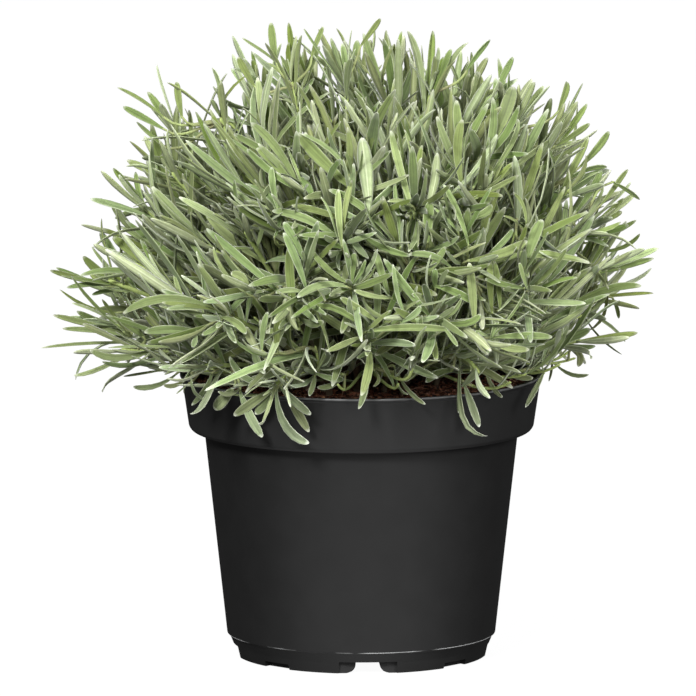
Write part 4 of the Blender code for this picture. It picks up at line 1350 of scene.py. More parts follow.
def growAxils(branch, backs, half, source, thin, lowest):  # small young leaves between leaf and stem
    leaves = []
    for back, centre, direction, turned in sidesAlong(branch["line"], branch["side"], backs):
        for face in range(4):
            if source.random() > growth["axilShare"]:
                continue
            root, outward, wide, axis = leafFrame(centre, direction, turned, half, face)
            for _ in range(source.choice((1, 1, 2, 2))):
                spec = (back, source.uniform(*growth["axilLength"]), source.uniform(*growth["axilWidth"]),
                        source.uniform(14.0, 44.0), source.uniform(-0.04, 0.08))
                for attempt in range(4):
                    blade = fineBlade(root, outward, axis, wide, spec, 0.2, source, 2.0 + attempt * 2.0)
                    if thinLeaf(blade, branch["owner"], thin, lowest):
                        leaves.append(agedBlade(blade, source.uniform(0.05, 0.5), source, "plain"))
                        break
    return leaves


# Leaf and stem meshes

leafForm = {
    # along: shares of the length and of the half width; across: shares of the half width, heights in
    # millimetres (upper side first, round to the lower side) and how much each belongs to the lower side
    "full": {
        "stations": (0.0, 0.08, 0.20, 0.36, 0.54, 0.71, 0.85, 0.94, 0.985),
        "widths": (0.27, 0.38, 0.60, 0.83, 0.98, 1.0, 0.85, 0.58, 0.30),
        "depths": (1.5, 1.2, 1.05, 1.0, 1.0, 1.0, 0.9, 0.75, 0.5),
        "across": (-1.0, -0.84, -0.42, 0.0, 0.42, 0.84, 1.0, 0.58, 0.0, -0.58),
        "height": (-0.18, 0.20, 0.06, -0.14, 0.06, 0.20, -0.18, -0.26, -0.56, -0.26),
        "under": (0.5, 0.0, 0.0, 0.0, 0.0, 0.0, 0.5, 1.0, 1.0, 1.0),
    },
    "half": {
        "stations": (0.0, 0.13, 0.33, 0.56, 0.77, 0.92, 0.985),
        "widths": (0.27, 0.48, 0.80, 1.0, 0.94, 0.62, 0.30),
        "depths": (1.5, 1.1, 1.0, 1.0, 0.95, 0.75, 0.5),
        "across": (-1.0, -0.80, 0.0, 0.80, 1.0, 0.52, 0.0, -0.52),
        "height": (-0.16, 0.20, -0.12, 0.20, -0.16, -0.28, -0.54, -0.28),
        "under": (0.5, 0.0, 0.0, 0.0, 0.5, 1.0, 1.0, 1.0),
    },
    "plain": {
        "stations": (0.0, 0.24, 0.56, 0.86, 0.98),
        "widths": (0.30, 0.72, 1.0, 0.76, 0.30),
        "depths": (1.3, 1.0, 1.0, 0.9, 0.5),
        "across": (-1.0, -0.45, 0.45, 1.0, 0.45, -0.45),
        "height": (-0.10, 0.12, 0.12, -0.10, -0.42, -0.42),
        "under": (0.5, 0.0, 0.0, 0.5, 1.0, 1.0),
    },
    "widen": 1.07,
}


class Parts:  # gathers leaves and stems into one mesh
    def __init__(self):
        self.points, self.quads, self.threes, self.place, self.kind = [], [], [], [], []
        self.quadKinds, self.threeKinds, self.count = [], [], 0

    def tube(self, points, place, kind, material, tip):  # stations x ring x 3, closed by a cap and a tip
        rows, ring = points.shape[:2]
        first = self.count
        self.points += [points.reshape(-1, 3), tip.reshape(1, 3)]
        self.place += [place.reshape(-1, 3), np.array([[0.0, 1.0, 0.25]])]
        kinds = np.broadcast_to(kind, (rows, ring, 3)).reshape(-1, 3)
        self.kind += [kinds, kinds[-1:]]
        self.count += rows * ring + 1
        k = np.arange(ring)
        n = (k + 1) % ring
        for row in range(rows - 1):
            low = first + row * ring
            self.quads.append(np.stack([low + k, low + n, low + ring + n, low + ring + k], 1))
        self.quadKinds.append(np.full((rows - 1) * ring, material))
        fan = np.arange(1, ring - 1)
        self.threes.append(np.stack([np.full(ring - 2, first), first + fan + 1, first + fan], 1))
        top = first + (rows - 1) * ring
        self.threes.append(np.stack([top + k, top + n, np.full(ring, self.count - 1)], 1))
        self.threeKinds.append(np.full(2 * ring - 2, material))

    def build(self, name, materials):
        points = np.concatenate(self.points) * mm
        quads, threes = np.concatenate(self.quads), np.concatenate(self.threes)
        mesh = bpy.data.meshes.new(name)
        mesh.vertices.add(len(points))
        mesh.vertices.foreach_set("co", points.astype(np.float32).ravel())
        mesh.loops.add(quads.size + threes.size)
        corners = np.concatenate([quads.ravel(), threes.ravel()])
        mesh.loops.foreach_set("vertex_index", corners.astype(np.int32))
        mesh.polygons.add(len(quads) + len(threes))
        starts = np.concatenate([np.arange(len(quads)) * 4, quads.size + np.arange(len(threes)) * 3])
        mesh.polygons.foreach_set("loop_start", starts.astype(np.int32))
        kinds = np.concatenate(self.quadKinds + self.threeKinds).astype(np.int32)
        for made in materials:
            mesh.materials.append(made)
        mesh.polygons.foreach_set("material_index", kinds)
        mesh.polygons.foreach_set("use_smooth", [True] * len(mesh.polygons))
        for label, rows in (("leafPlace", self.place), ("leafKind", self.kind)):
            attribute = mesh.attributes.new(label, "FLOAT_VECTOR", "POINT")
            attribute.data.foreach_set("vector", np.concatenate(rows).astype(np.float32).ravel())
        mesh.update(calc_edges=True)
        obj = bpy.data.objects.new(name, mesh)
        bpy.context.scene.collection.objects.link(obj)
        return obj


def unit(rows):
    return rows / np.maximum(np.linalg.norm(rows, axis=-1, keepdims=True), 1e-9)


def addLeaf(parts, blade):
    form = leafForm[blade["detail"]]
    u = np.array(form["stations"] + (1.0,))[:, None]
    root, lead, bend = (np.array(blade[key], float) for key in ("root", "lead", "bend"))
    flat, upper = np.array(blade["flat"], float), np.array(blade["upper"], float)
    long = float(np.linalg.norm(lead))
    rise, drift = blade["curl"] * long, blade["sweep"] * long
    line = root + lead * u + bend * u * u
    line = line + upper * (rise * (u - 1.0) * u * u * 1.5) + flat * (drift * (u - u * u))
    tangent = unit(np.gradient(line, u[:, 0], axis=0))
    wide = unit(flat - tangent * (tangent @ flat)[:, None])
    over = np.cross(wide, tangent)
    over = over * np.sign(over @ upper)[:, None]
    turn = blade["spin"] * u * u
    wide, over = wide * np.cos(turn) + over * np.sin(turn), over * np.cos(turn) - wide * np.sin(turn)
    rows = len(form["stations"])
    half = np.array(form["widths"])[:, None] * blade["width"] * 0.5 * leafForm["widen"]
    across, height = np.array(form["across"]), np.array(form["height"])
    depth = np.array(form["depths"])[:, None] * min(1.0, 0.45 + blade["width"] / 8.0)
    lift = height * depth + np.abs(across) ** 1.4 * half * blade["fold"]
    points = line[:rows, None] + wide[:rows, None] * (across * half)[..., None]
    points = points + over[:rows, None] * lift[..., None]
    place = np.empty(points.shape)
    place[..., 0], place[..., 1], place[..., 2] = across, u[:rows], np.array(form["under"])
    if float(np.dot(np.cross(wide[2], over[2]), tangent[2])) > 0.0:
        points, place = points[:, ::-1], place[:, ::-1]
    parts.tube(points, place, np.array((blade["tone"], blade["age"], blade["phase"])), 0, line[rows])


def addStem(parts, line, side, halfLow, halfHigh, nodes, ages, source):
    length = lineLength(line)
    count = max(8, int(length / 4.5))
    backs = [length * (1.0 - i / (count - 1)) for i in range(count)]
    backs += [back for node in nodes for back in (node + 1.5, node, node - 1.5) if 0.2 < back < length - 0.2]
    rings, places, kinds = [], [], []
    corners = ((1, 0.5), (0.5, 1), (-0.5, 1), (-1, 0.5), (-1, -0.5), (-0.5, -1), (0.5, -1), (1, -0.5))
    tone, phase = source.random(), source.random()
    for back, centre, direction, turned in sidesAlong(line, side, sorted(set(backs))):
        across = direction.cross(turned).normalized()
        share = 1.0 - back / length
        half = halfLow * (1 - share) + halfHigh * share
        half *= 1.0 + sum(0.20 * math.exp(-(((back - node) / 1.5) ** 2)) for node in nodes)
        half *= 1.0 + max(0.0, 1.0 - share * 2.2) * 0.16 * noise.noise(centre * 0.22)
        rings.append([centre + turned * (a * half) + across * (b * half) for a, b in corners])
        places.append([(a, share, 0.0) for a, _ in corners])
        kinds.append([(tone, ages[0] + (ages[1] - ages[0]) * share, phase)] * len(corners))
    tip, direction = along(line, 0.0)
    parts.tube(np.array(rings, float), np.array(places, float), np.array(kinds, float), 1,
               np.array(tip + direction * halfHigh * 2.2, float))


# Leaf and stem materials

leafLook = {
    # young, grown, old and dry leaves, the old and dry ones darkened partly as painted shade, as only leaves
    # deep inside grow old; then the stem from its green tip to its bark
    "leafShades": ((0.0, "#96A865"), (0.38, "#798A54"), (0.72, "#5F6734"), (1.0, "#4C3E33")),
    "stemShades": ((0.0, "#B8C979"), (0.35, "#A3B273"), (0.55, "#8F9068"), (0.75, "#70634F"),
                   (1.0, "#4F4336")),
    "underside": "#A2AC80",
    "paleMarginAndGlint": "#D8DFBC",
    # paler felted margin together with a painted highlight along the edge
    "midrib": "#BEC89C",
    # painted shade in the midrib's groove on the upper side
    "paintedGrooveShade": "#586536",
    "tip": "#CFD3BF",
    "feltSize": 0.45,
    "mottleSize": 3.2,
    "roughness": 0.68,
    "sheen": 0.30,
}


# living lavender leaf under a felt of short hairs: matt grey-green with pale felted edges that also carry a
# painted highlight of the light the edge hairs catch, and a soft bloom
def feltedLeaf():
    made, tree, shader = newMaterial("living felted lavender leaf")
    spot = addNode(tree, "TexCoord").outputs["Object"]
    stored = [addNode(tree, "Attribute", {"attribute_name": name}) for name in ("leafKind", "leafPlace")]
    parts = [addNode(tree, "SeparateXYZ", links={0: one.outputs["Vector"]}).outputs for one in stored]
    (tone, age, phase), (across, alongLeaf, under) = parts
    body = addNode(tree, "ValToRGB", {"stops": leafLook["leafShades"]}, {0: age})
    below = addNode(tree, "Math", {"operation": "MULTIPLY", 1: 0.75}, {0: under})
    aside = addNode(tree, "Math", {"operation": "ABSOLUTE"}, {0: across})
    # pale margins: the felted edge's own paler colour and a painted highlight of light caught by the edge
    # hairs
    edge = addNode(tree, "MapRange", {"From Min": 0.76, "From Max": 0.95}, {0: aside})
    strong = addNode(tree, "MapRange", {"To Min": 0.1, "To Max": 0.65}, {0: phase})
    paleMarginAndGlint = addNode(tree, "Math", {"operation": "MULTIPLY"}, {0: edge, 1: strong})
    middle = addNode(tree, "MapRange", {"From Min": 0.16, "From Max": 0.02, "To Max": 0.85}, {0: aside})
    rib = addNode(tree, "Math", {"operation": "MULTIPLY"}, {0: middle, 1: under})
    # painted shade: the groove along the midrib on the upper side is darkened
    above = addNode(tree, "Math", {"operation": "SUBTRACT"}, {0: middle, 1: rib})
    paintedGrooveShade = addNode(tree, "Math", {"operation": "MULTIPLY", 1: 0.65}, {0: above})
    end = addNode(tree, "MapRange", {"From Min": 0.92, "From Max": 1.0, "To Max": 0.8}, {0: alongLeaf})
    colour = body.outputs[0]
    shares = {"underside": below, "paleMarginAndGlint": paleMarginAndGlint, "midrib": rib, "paintedGrooveShade": paintedGrooveShade, "tip": end}
    for name, share in shares.items():
        laid = {"data_type": "RGBA", 7: linear(leafLook[name])}
        colour = addNode(tree, "Mix", laid, {0: share, 6: colour}).outputs[2]
    # hairs are under 0.1 mm; the felt is drawn coarser so that it shows
    felt = addNode(tree, "TexNoise", {"Scale": grain(leafLook["feltSize"]), "Detail": 2.0}, {"Vector": spot})
    mottle = addNode(tree, "TexNoise", {"Scale": grain(leafLook["mottleSize"]), "Detail": 2.0}, {0: spot})
    # shallow veins run the length of a leaf, about 0.7 mm apart on one 4.4 mm wide
    own = addNode(tree, "CombineXYZ", links={0: across, 1: alongLeaf, 2: phase})
    own = addNode(tree, "VectorMath", {"operation": "MULTIPLY", 1: (3.1, 1.6, 40.0)}, {0: own})
    veins = addNode(tree, "TexNoise", {"Scale": 1.0, "Detail": 2.0}, {"Vector": own})
    value = addNode(tree, "MapRange", {"To Min": 0.54, "To Max": 1.19}, {0: tone})
    for pattern, dark, bright in ((mottle, 0.92, 1.08), (felt, 0.93, 1.07), (veins, 0.76, 1.20)):
        limits = {"From Min": 0.3, "From Max": 0.7, "To Min": dark, "To Max": bright}
        factor = addNode(tree, "MapRange", limits, {0: pattern})
        value = addNode(tree, "Math", {"operation": "MULTIPLY"}, {0: value, 1: factor})
    hue = addNode(tree, "MapRange", {"To Min": 0.485, "To Max": 0.515}, {0: phase})
    # leaves low on the plant are older, greyer and lighter: partly their own paler grey, partly painted light
    # that lifts the shade under the foliage
    height = addNode(tree, "SeparateXYZ", links={0: spot}).outputs[2]
    pale = addNode(tree, "MapRange", {"From Min": 0.125, "From Max": 0.20, "To Min": 1.46, "To Max": 1.0},
                   {0: height})
    value = addNode(tree, "Math", {"operation": "MULTIPLY"}, {0: value, 1: pale})
    green = addNode(tree, "MapRange", {"From Min": 0.125, "From Max": 0.19, "To Min": 0.62, "To Max": 1.0},
                    {0: height})
    # the densest felt is the palest and greyest; darker tones, the painted shade inside the plant among them,
    # come out more saturated
    grey = addNode(tree, "MapRange", {"To Min": 1.30, "To Max": 0.80}, {0: tone})
    green = addNode(tree, "Math", {"operation": "MULTIPLY"}, {0: green, 1: grey})
    final = addNode(tree, "HueSaturation", links={
        "Hue": hue, "Saturation": green, "Value": value, "Color": colour})
    bump = addNode(tree, "Bump", {"Strength": 0.3, "Distance": 0.0001}, {"Height": felt})
    return finished(made, tree, shader, {"Base Color": final.outputs[0], "Normal": bump.outputs[0]}, {
        "Roughness": leafLook["roughness"], "Specular IOR Level": 0.3, "Sheen Weight": leafLook["sheen"],
        "Sheen Roughness": 0.5})


# green felted shoots that turn to grey-brown bark below: matt, with fine lengthwise fibres
def lavenderStem():
    made, tree, shader = newMaterial("lavender stem, green above and barked below")
    spot = addNode(tree, "TexCoord").outputs["Object"]
    stored = addNode(tree, "Attribute", {"attribute_name": "leafKind"})
    kind = addNode(tree, "SeparateXYZ", links={0: stored.outputs["Vector"]})
    stretched = addNode(tree, "Mapping", {"Scale": (1.0, 1.0, 0.22)}, {0: spot})
    bark = addNode(tree, "TexNoise", {"Scale": grain(0.8), "Detail": 3.0}, {0: stretched})
    patch = addNode(tree, "TexNoise", {"Scale": grain(9.0), "Detail": 2.0}, {0: spot})
    shift = addNode(tree, "MapRange", {"From Min": 0.3, "From Max": 0.7, "To Min": -0.10, "To Max": 0.10},
                    {0: patch})
    age = addNode(tree, "Math", {"operation": "ADD"}, {0: kind.outputs[1], 1: shift})
    body = addNode(tree, "ValToRGB", {"stops": leafLook["stemShades"]}, {0: age})
    light = addNode(tree, "MapRange", {"From Min": 0.25, "From Max": 0.75, "To Min": 0.72, "To Max": 1.2},
                    {0: bark})
    final = addNode(tree, "HueSaturation", links={"Value": light, "Color": body})
    bump = addNode(tree, "Bump", {"Strength": 0.5, "Distance": 0.0002}, {"Height": bark})
    return finished(made, tree, shader, {"Base Color": final.outputs[0], "Normal": bump.outputs[0]},
                    {"Roughness": 0.7, "Specular IOR Level": 0.3})


# Single leaves measured on the photo: root, middle of the bow and tip in millimetres, width in millimetres,
# age, tone (partly the leaf's own colour, partly painted light and shade of how it was lit), and degrees
# turned away from the front (over 90 shows the underside)

seenLeaves = (
    ((-63, -84, 152), (-60, -86, 140), (-51, -88, 128), 5.0, 0.42, 0.55, 10),
    ((-44, -93, 154), (-43, -97, 130), (-27, -101, 127), 5.0, 0.50, 0.75, 20),
    ((-42, -95, 156), (-36, -98, 149), (-26, -102, 142), 4.4, 0.55, 0.85, 10),
    ((-40, -91, 154), (-35, -94, 144), (-27, -96, 132), 4.7, 0.60, 0.35, 0),
    ((-44, -95, 156), (-63, -98, 156), (-68, -100, 172), 3.9, 0.50, 0.70, 20),
    ((-42, -97, 156), (-39, -98, 160), (-41, -99, 167), 2.4, 0.50, 0.80, 40),
    ((-45, -96, 155), (-52, -98, 163), (-58, -100, 156), 3.7, 0.60, 0.80, 10),
    ((-46, -90, 153), (-55, -88, 147), (-66, -86, 139), 5.2, 0.55, 0.35, 0),
    ((-45, -89, 152), (-49, -88, 146), (-55, -87, 140), 5.2, 0.60, 0.30, 0),
    ((-24, -104, 165), (-27, -106, 171), (-32, -108, 180), 1.7, 0.35, 0.95, 60),
    ((-23, -104, 165), (-20, -106, 173), (-14, -108, 182), 2.6, 0.40, 0.70, 20),
    ((-24, -103, 164), (-16, -104, 160), (-9, -106, 161), 3.4, 0.50, 0.50, 0),
    ((-24, -101, 163), (-24, -102, 158), (-27, -104, 152), 2.9, 0.65, 0.60, 0),
    ((-63, -85, 153), (-68, -86, 147), (-74, -88, 152), 2.6, 0.50, 0.80, 20),
    ((-66, -82, 153), (-71, -83, 147), (-76, -84, 142), 6.3, 0.65, 0.55, 0),
    ((-77, -72, 160), (-79, -71, 150), (-88, -70, 142), 3.1, 0.60, 0.45, 0),
    ((-88, -66, 159), (-89, -70, 147), (-79, -74, 145), 2.1, 0.50, 0.75, 30),
    ((-89, -58, 152), (-92, -58, 149), (-96, -58, 146), 1.5, 0.70, 0.50, 60),
    ((-91, -56, 151), (-92, -56, 148), (-92, -56, 146), 1.3, 0.70, 0.50, 60),
    ((51, -84, 169), (48, -87, 134), (65, -90, 129), 3.4, 0.42, 0.70, 30),
    ((53, -82, 155), (57, -84, 145), (61, -86, 133), 4.2, 0.62, 0.85, 0),
    ((52, -84, 154), (58, -88, 161), (65, -92, 169), 4.4, 0.55, 0.80, 10),
    ((50, -82, 157), (50, -83, 149), (50, -84, 140), 1.8, 0.50, 0.50, 50),
    ((64, -66, 161), (66, -70, 150), (73, -75, 147), 2.6, 0.62, 0.75, 10),
    ((17, -92, 166), (17, -95, 152), (24, -98, 152), 1.5, 0.60, 0.80, 40),
    ((19, -90, 161), (24, -94, 151), (33, -99, 147), 2.4, 0.62, 0.60, 10),
    ((95, -46, 156), (92, -52, 149), (85, -58, 139), 2.9, 0.62, 0.70, 10),
    ((94, -46, 156), (94, -45, 163), (97, -44, 171), 1.8, 0.50, 0.80, 30),
    ((72, -60, 160), (80, -61, 155), (89, -62, 155), 3.4, 0.65, 0.55, 0),
    ((47, -92, 163), (40, -94, 165), (33, -96, 158), 4.2, 0.65, 0.40, 0),
    ((33, -96, 166), (24, -98, 163), (22, -99, 159), 3.7, 0.65, 0.35, 0),
    ((-9, -98, 163), (-14, -99, 155), (-23, -100, 156), 3.1, 0.65, 0.50, 0),
    ((6, -96, 165), (12, -96, 159), (6, -97, 156), 2.1, 0.70, 0.40, 30),
    ((98, -20, 178), (125, -23, 198), (146, -26, 198), 4.4, 0.35, 0.55, 10),
    ((112, 0, 199), (133, 0, 203), (153, 0, 209), 3.9, 0.40, 0.45, 10),
    ((120, 10, 211), (140, 12, 211), (146, 14, 220), 2.6, 0.50, 0.25, 30),
    ((117, 5, 216), (131, 6, 220), (144, 8, 228), 3.1, 0.40, 0.50, 20),
    ((120, -5, 206), (131, -5, 208), (142, -5, 210), 2.9, 0.40, 0.55, 20),
    ((98, -25, 169), (111, -28, 165), (122, -30, 167), 3.1, 0.40, 0.50, 20),
    ((91, -35, 168), (110, -38, 171), (119, -42, 178), 4.7, 0.40, 0.45, 0),
    ((128, 8, 201), (132, 5, 175), (118, 2, 170), 2.4, 0.60, 0.15, 30),
    ((131, 12, 187), (135, 13, 182), (135, 14, 175), 2.4, 0.60, 0.12, 30),
    ((116, 15, 178), (122, 18, 165), (137, 20, 155), 1.7, 0.75, 0.05, 50),
    ((117, 10, 178), (121, 11, 178), (124, 12, 180), 1.0, 0.70, 0.20, 60),
    ((101, -10, 155), (109, -10, 146), (119, -10, 149), 2.4, 0.65, 0.25, 20),
    ((110, -14, 163), (117, -15, 161), (113, -16, 154), 3.7, 0.65, 0.60, 0),
    ((99, -8, 161), (101, -8, 153), (98, -8, 145), 1.6, 0.70, 0.30, 40),
    ((-78, -112, 200), (-101, -102, 207), (-123, -92, 193), 5.0, 0.45, 0.70, 10),
    ((-81, -108, 185), (-96, -102, 187), (-112, -96, 184), 4.7, 0.50, 0.65, 0),
    ((-85, -112, 186), (-85, -113, 182), (-87, -114, 179), 3.1, 0.55, 0.90, 0),
    ((-105, -20, 167), (-137, -25, 169), (-167, -30, 166), 2.0, 0.60, 0.50, 30),
    ((-106, -45, 168), (-130, -48, 159), (-141, -50, 168), 4.2, 0.50, 0.50, 10),
    ((-103, -35, 163), (-119, -36, 155), (-135, -38, 160), 2.9, 0.55, 0.35, 20),
    ((-100, -30, 155), (-113, -30, 153), (-124, -30, 151), 1.8, 0.65, 0.40, 40),
    ((-96, -25, 152), (-109, -26, 142), (-119, -26, 145), 3.1, 0.55, 0.35, 20),
    ((-90, -40, 152), (-97, -40, 146), (-103, -40, 148), 2.6, 0.55, 0.40, 20),
    ((-122, -10, 170), (-141, -12, 175), (-161, -14, 181), 3.4, 0.40, 0.55, 10),
    ((-121, -16, 170), (-138, -19, 174), (-156, -22, 175), 2.9, 0.40, 0.60, 20),
    ((-124, 0, 170), (-137, 0, 175), (-149, 0, 181), 3.7, 0.45, 0.40, 0),
    ((-127, 8, 179), (-145, 9, 179), (-158, 10, 191), 2.4, 0.55, 0.20, 30),
    ((-123, -24, 173), (-139, -27, 187), (-151, -30, 204), 2.4, 0.45, 0.40, 30),
    ((-122, -26, 173), (-128, -29, 182), (-135, -32, 192), 2.4, 0.50, 0.35, 30),
    ((-135, 5, 194), (-148, 4, 198), (-163, 4, 202), 3.1, 0.35, 0.45, 10),
    ((-134, 12, 193), (-147, 13, 196), (-160, 14, 202), 3.1, 0.35, 0.30, 10),
    ((-128, -2, 195), (-141, -3, 197), (-154, -4, 194), 2.9, 0.45, 0.60, 20),
    ((-126, 18, 193), (-138, 20, 197), (-146, 22, 207), 4.4, 0.50, 0.20, 0),
    ((-122, 4, 192), (-133, 4, 192), (-141, 4, 189), 2.6, 0.50, 0.50, 20),
    ((-113, -30, 171), (-119, -32, 178), (-126, -34, 182), 5.5, 0.55, 0.45, 0),
    ((-5, -113, 261), (-21, -109, 273), (-33, -92, 287), 6.8, 0.42, 0.50, 0),
    ((-6, -113, 267), (-13, -106, 281), (-31, -96, 287), 3.1, 0.35, 0.80, 35),
    ((4, -124, 250), (2, -118, 269), (0, -102, 286), 7.9, 0.60, 0.85, 190),
    ((-32, -107, 260), (-40, -95, 280), (-57, -75, 290), 4.7, 0.40, 0.65, 0),
    ((-37, -97, 269), (-52, -88, 279), (-66, -73, 284), 3.7, 0.45, 0.60, 10),
    ((-35, -105, 262), (-52, -95, 274), (-68, -76, 282), 2.6, 0.50, 0.50, 20),
    ((-32, -111, 258), (-45, -100, 275), (-54, -91, 279), 4.7, 0.45, 0.50, 0),
    ((-34, -108, 260), (-48, -103, 268), (-59, -87, 278), 3.7, 0.50, 0.45, 10),
    ((-30, -113, 261), (-34, -109, 272), (-38, -100, 280), 3.1, 0.20, 0.75, 45),
    ((-45, -119, 236), (-36, -117, 256), (-60, -101, 262), 3.9, 0.40, 0.65, 20),
    ((-43, -115, 250), (-46, -111, 262), (-46, -104, 271), 3.7, 0.35, 0.70, 20),
    ((-10, -132, 233), (-13, -131, 249), (-12, -122, 262), 4.2, 0.15, 0.80, 20),
    ((-9, -127, 242), (-10, -126, 254), (-5, -118, 266), 3.1, 0.20, 0.70, 20),
    ((-11, -127, 236), (-26, -125, 248), (-46, -117, 250), 4.7, 0.40, 0.70, 10),
    ((-9, -125, 232), (-23, -128, 237), (-40, -119, 244), 6.8, 0.42, 0.30, 0),
    ((-29, -129, 225), (-34, -129, 237), (-40, -122, 245), 4.4, 0.45, 0.70, 10),
    ((16, -126, 236), (0, -123, 257), (-17, -118, 261), 4.2, 0.35, 0.62, 10),
    ((-12, -129, 237), (-16, -130, 248), (-21, -122, 258), 1.8, 0.30, 0.80, 50),
    ((-4, -122, 244), (-21, -123, 251), (-36, -118, 253), 3.7, 0.50, 0.50, 0),
    ((-25, -114, 254), (-26, -114, 263), (-32, -110, 266), 4.2, 0.50, 0.50, 0),
    ((27, -120, 248), (20, -115, 269), (15, -97, 289), 4.4, 0.15, 0.85, 15),
    ((28, -115, 255), (27, -106, 277), (22, -94, 289), 2.9, 0.25, 0.65, 30),
    ((27, -121, 252), (23, -124, 257), (13, -125, 256), 2.4, 0.30, 0.90, 20),
    ((20, -129, 232), (19, -126, 251), (17, -117, 265), 2.9, 0.30, 0.70, 30),
    ((33, -119, 249), (38, -114, 264), (39, -101, 278), 5.0, 0.60, 0.75, 190),
    ((52, -101, 259), (46, -92, 280), (52, -77, 292), 5.2, 0.45, 0.50, 0),
    ((51, -94, 272), (51, -84, 288), (49, -68, 301), 5.0, 0.50, 0.60, 10),
    ((46, -109, 258), (62, -97, 269), (70, -74, 284), 4.4, 0.60, 0.78, 195),
    ((57, -99, 259), (69, -77, 280), (68, -50, 300), 4.7, 0.40, 0.55, 0),
    ((60, -100, 259), (83, -71, 276), (81, -52, 289), 3.1, 0.35, 0.65, 25),
    ((66, -78, 277), (75, -51, 294), (79, -21, 302), 7.3, 0.45, 0.42, 0),
    ((62, -102, 257), (79, -81, 271), (101, -34, 278), 3.4, 0.40, 0.65, 20),
    ((53, -108, 253), (67, -101, 258), (81, -84, 264), 3.1, 0.45, 0.62, 20),
    ((50, -107, 246), (60, -107, 249), (67, -97, 255), 3.4, 0.82, 0.60, 10),
    ((51, -110, 245), (64, -109, 245), (67, -102, 251), 4.4, 0.80, 0.65, 0),
    ((55, -120, 232), (51, -118, 250), (42, -112, 263), 3.4, 0.20, 0.75, 20),
    ((50, -118, 239), (44, -122, 246), (37, -120, 252), 2.4, 0.20, 0.70, 30),
    ((34, -124, 234), (32, -125, 245), (35, -118, 255), 5.8, 0.30, 0.60, 0),
    ((84, -97, 234), (88, -88, 250), (78, -91, 256), 2.1, 0.50, 0.60, 20),
    ((85, -107, 222), (87, -104, 234), (93, -92, 242), 6.3, 0.40, 0.65, 0),
    ((85, -86, 234), (79, -90, 243), (73, -93, 244), 1.8, 0.65, 0.65, 30),
    ((61, -117, 224), (72, -113, 232), (78, -104, 239), 3.4, 0.60, 0.65, 10),
    ((54, -123, 225), (73, -118, 228), (85, -106, 233), 5.2, 0.30, 0.65, 0),
    ((-39, -130, 207), (-58, -125, 224), (-80, -102, 239), 4.4, 0.45, 0.60, 0),
    ((-58, -128, 208), (-74, -121, 220), (-76, -113, 231), 2.9, 0.35, 0.75, 30),
    ((-58, -127, 212), (-60, -130, 219), (-67, -126, 219), 4.7, 0.50, 0.80, 0),
    ((-7, -141, 214), (-21, -144, 219), (-33, -144, 209), 4.4, 0.45, 0.90, 10),
    ((-29, -140, 211), (-37, -144, 214), (-44, -141, 211), 3.1, 0.50, 0.98, 0),
    ((-6, -136, 215), (-16, -140, 221), (-26, -133, 232), 3.4, 0.35, 0.60, 10),
    ((-5, -138, 215), (-4, -140, 228), (-4, -137, 231), 3.7, 0.45, 0.60, 0),
    ((-5, -138, 214), (4, -144, 217), (7, -140, 225), 1.8, 0.50, 0.70, 40),
    ((-5, -138, 215), (0, -143, 221), (2, -139, 228), 2.6, 0.50, 0.60, 20),
    ((-33, -132, 195), (-38, -134, 212), (-37, -125, 233), 5.0, 0.42, 0.30, 0),
    ((-28, -135, 211), (-32, -135, 226), (-40, -125, 240), 4.2, 0.35, 0.72, 10),
    ((-33, -140, 192), (-37, -144, 200), (-39, -140, 208), 4.7, 0.60, 0.68, 190),
    ((-31, -136, 200), (-18, -142, 209), (0, -146, 195), 3.7, 0.45, 0.50, 10),
    ((8, -141, 196), (-2, -146, 205), (-11, -143, 209), 3.9, 0.40, 0.72, 10),
    ((16, -140, 208), (5, -147, 210), (-4, -145, 213), 2.9, 0.50, 0.88, 10),
    ((-51, -137, 180), (-52, -140, 192), (-48, -139, 201), 3.4, 0.50, 0.80, 10),
    ((-43, -132, 179), (-44, -137, 192), (-40, -135, 201), 4.7, 0.55, 0.30, 0),
    ((-72, -124, 195), (-73, -131, 191), (-82, -125, 187), 3.4, 0.55, 0.80, 0),
    ((-72, -123, 196), (-63, -133, 196), (-59, -136, 189), 4.2, 0.50, 0.72, 10),
    ((-52, -130, 179), (-57, -133, 185), (-59, -130, 192), 4.7, 0.60, 0.55, 190),
    ((-80, -115, 203), (-81, -116, 214), (-82, -111, 222), 2.9, 0.45, 0.80, 20),
    ((14, -139, 210), (9, -142, 221), (7, -137, 232), 4.2, 0.45, 0.68, 0),
    ((36, -135, 197), (24, -141, 209), (11, -135, 228), 4.4, 0.38, 0.62, 0),
    ((23, -143, 199), (16, -148, 209), (16, -141, 226), 2.9, 0.35, 0.85, 30),
    ((-2, -125, 241), (8, -136, 231), (25, -133, 229), 3.7, 0.45, 0.58, 10),
    ((46, -128, 222), (37, -133, 231), (24, -135, 230), 3.7, 0.45, 0.78, 0),
    ((33, -131, 219), (38, -134, 226), (43, -128, 233), 3.9, 0.45, 0.62, 0),
    ((38, -130, 211), (36, -134, 219), (38, -131, 222), 3.7, 0.55, 0.60, 0),
    ((58, -134, 192), (56, -136, 212), (55, -130, 225), 5.0, 0.35, 0.75, 10),
    ((37, -131, 213), (46, -135, 213), (58, -131, 204), 4.2, 0.62, 0.45, 0),
    ((38, -139, 196), (47, -142, 199), (51, -137, 208), 2.9, 0.60, 0.80, 20),
    ((19, -144, 196), (28, -149, 200), (30, -146, 205), 3.4, 0.60, 0.90, 0),
    ((1, -144, 191), (20, -148, 197), (46, -141, 192), 4.2, 0.35, 0.70, 10),
    ((36, -137, 196), (56, -138, 191), (61, -133, 199), 3.9, 0.40, 0.45, 0),
    ((41, -140, 195), (45, -147, 189), (49, -145, 184), 2.6, 0.50, 0.85, 20),
    ((84, -110, 209), (73, -122, 212), (63, -125, 216), 3.4, 0.35, 0.45, 10),
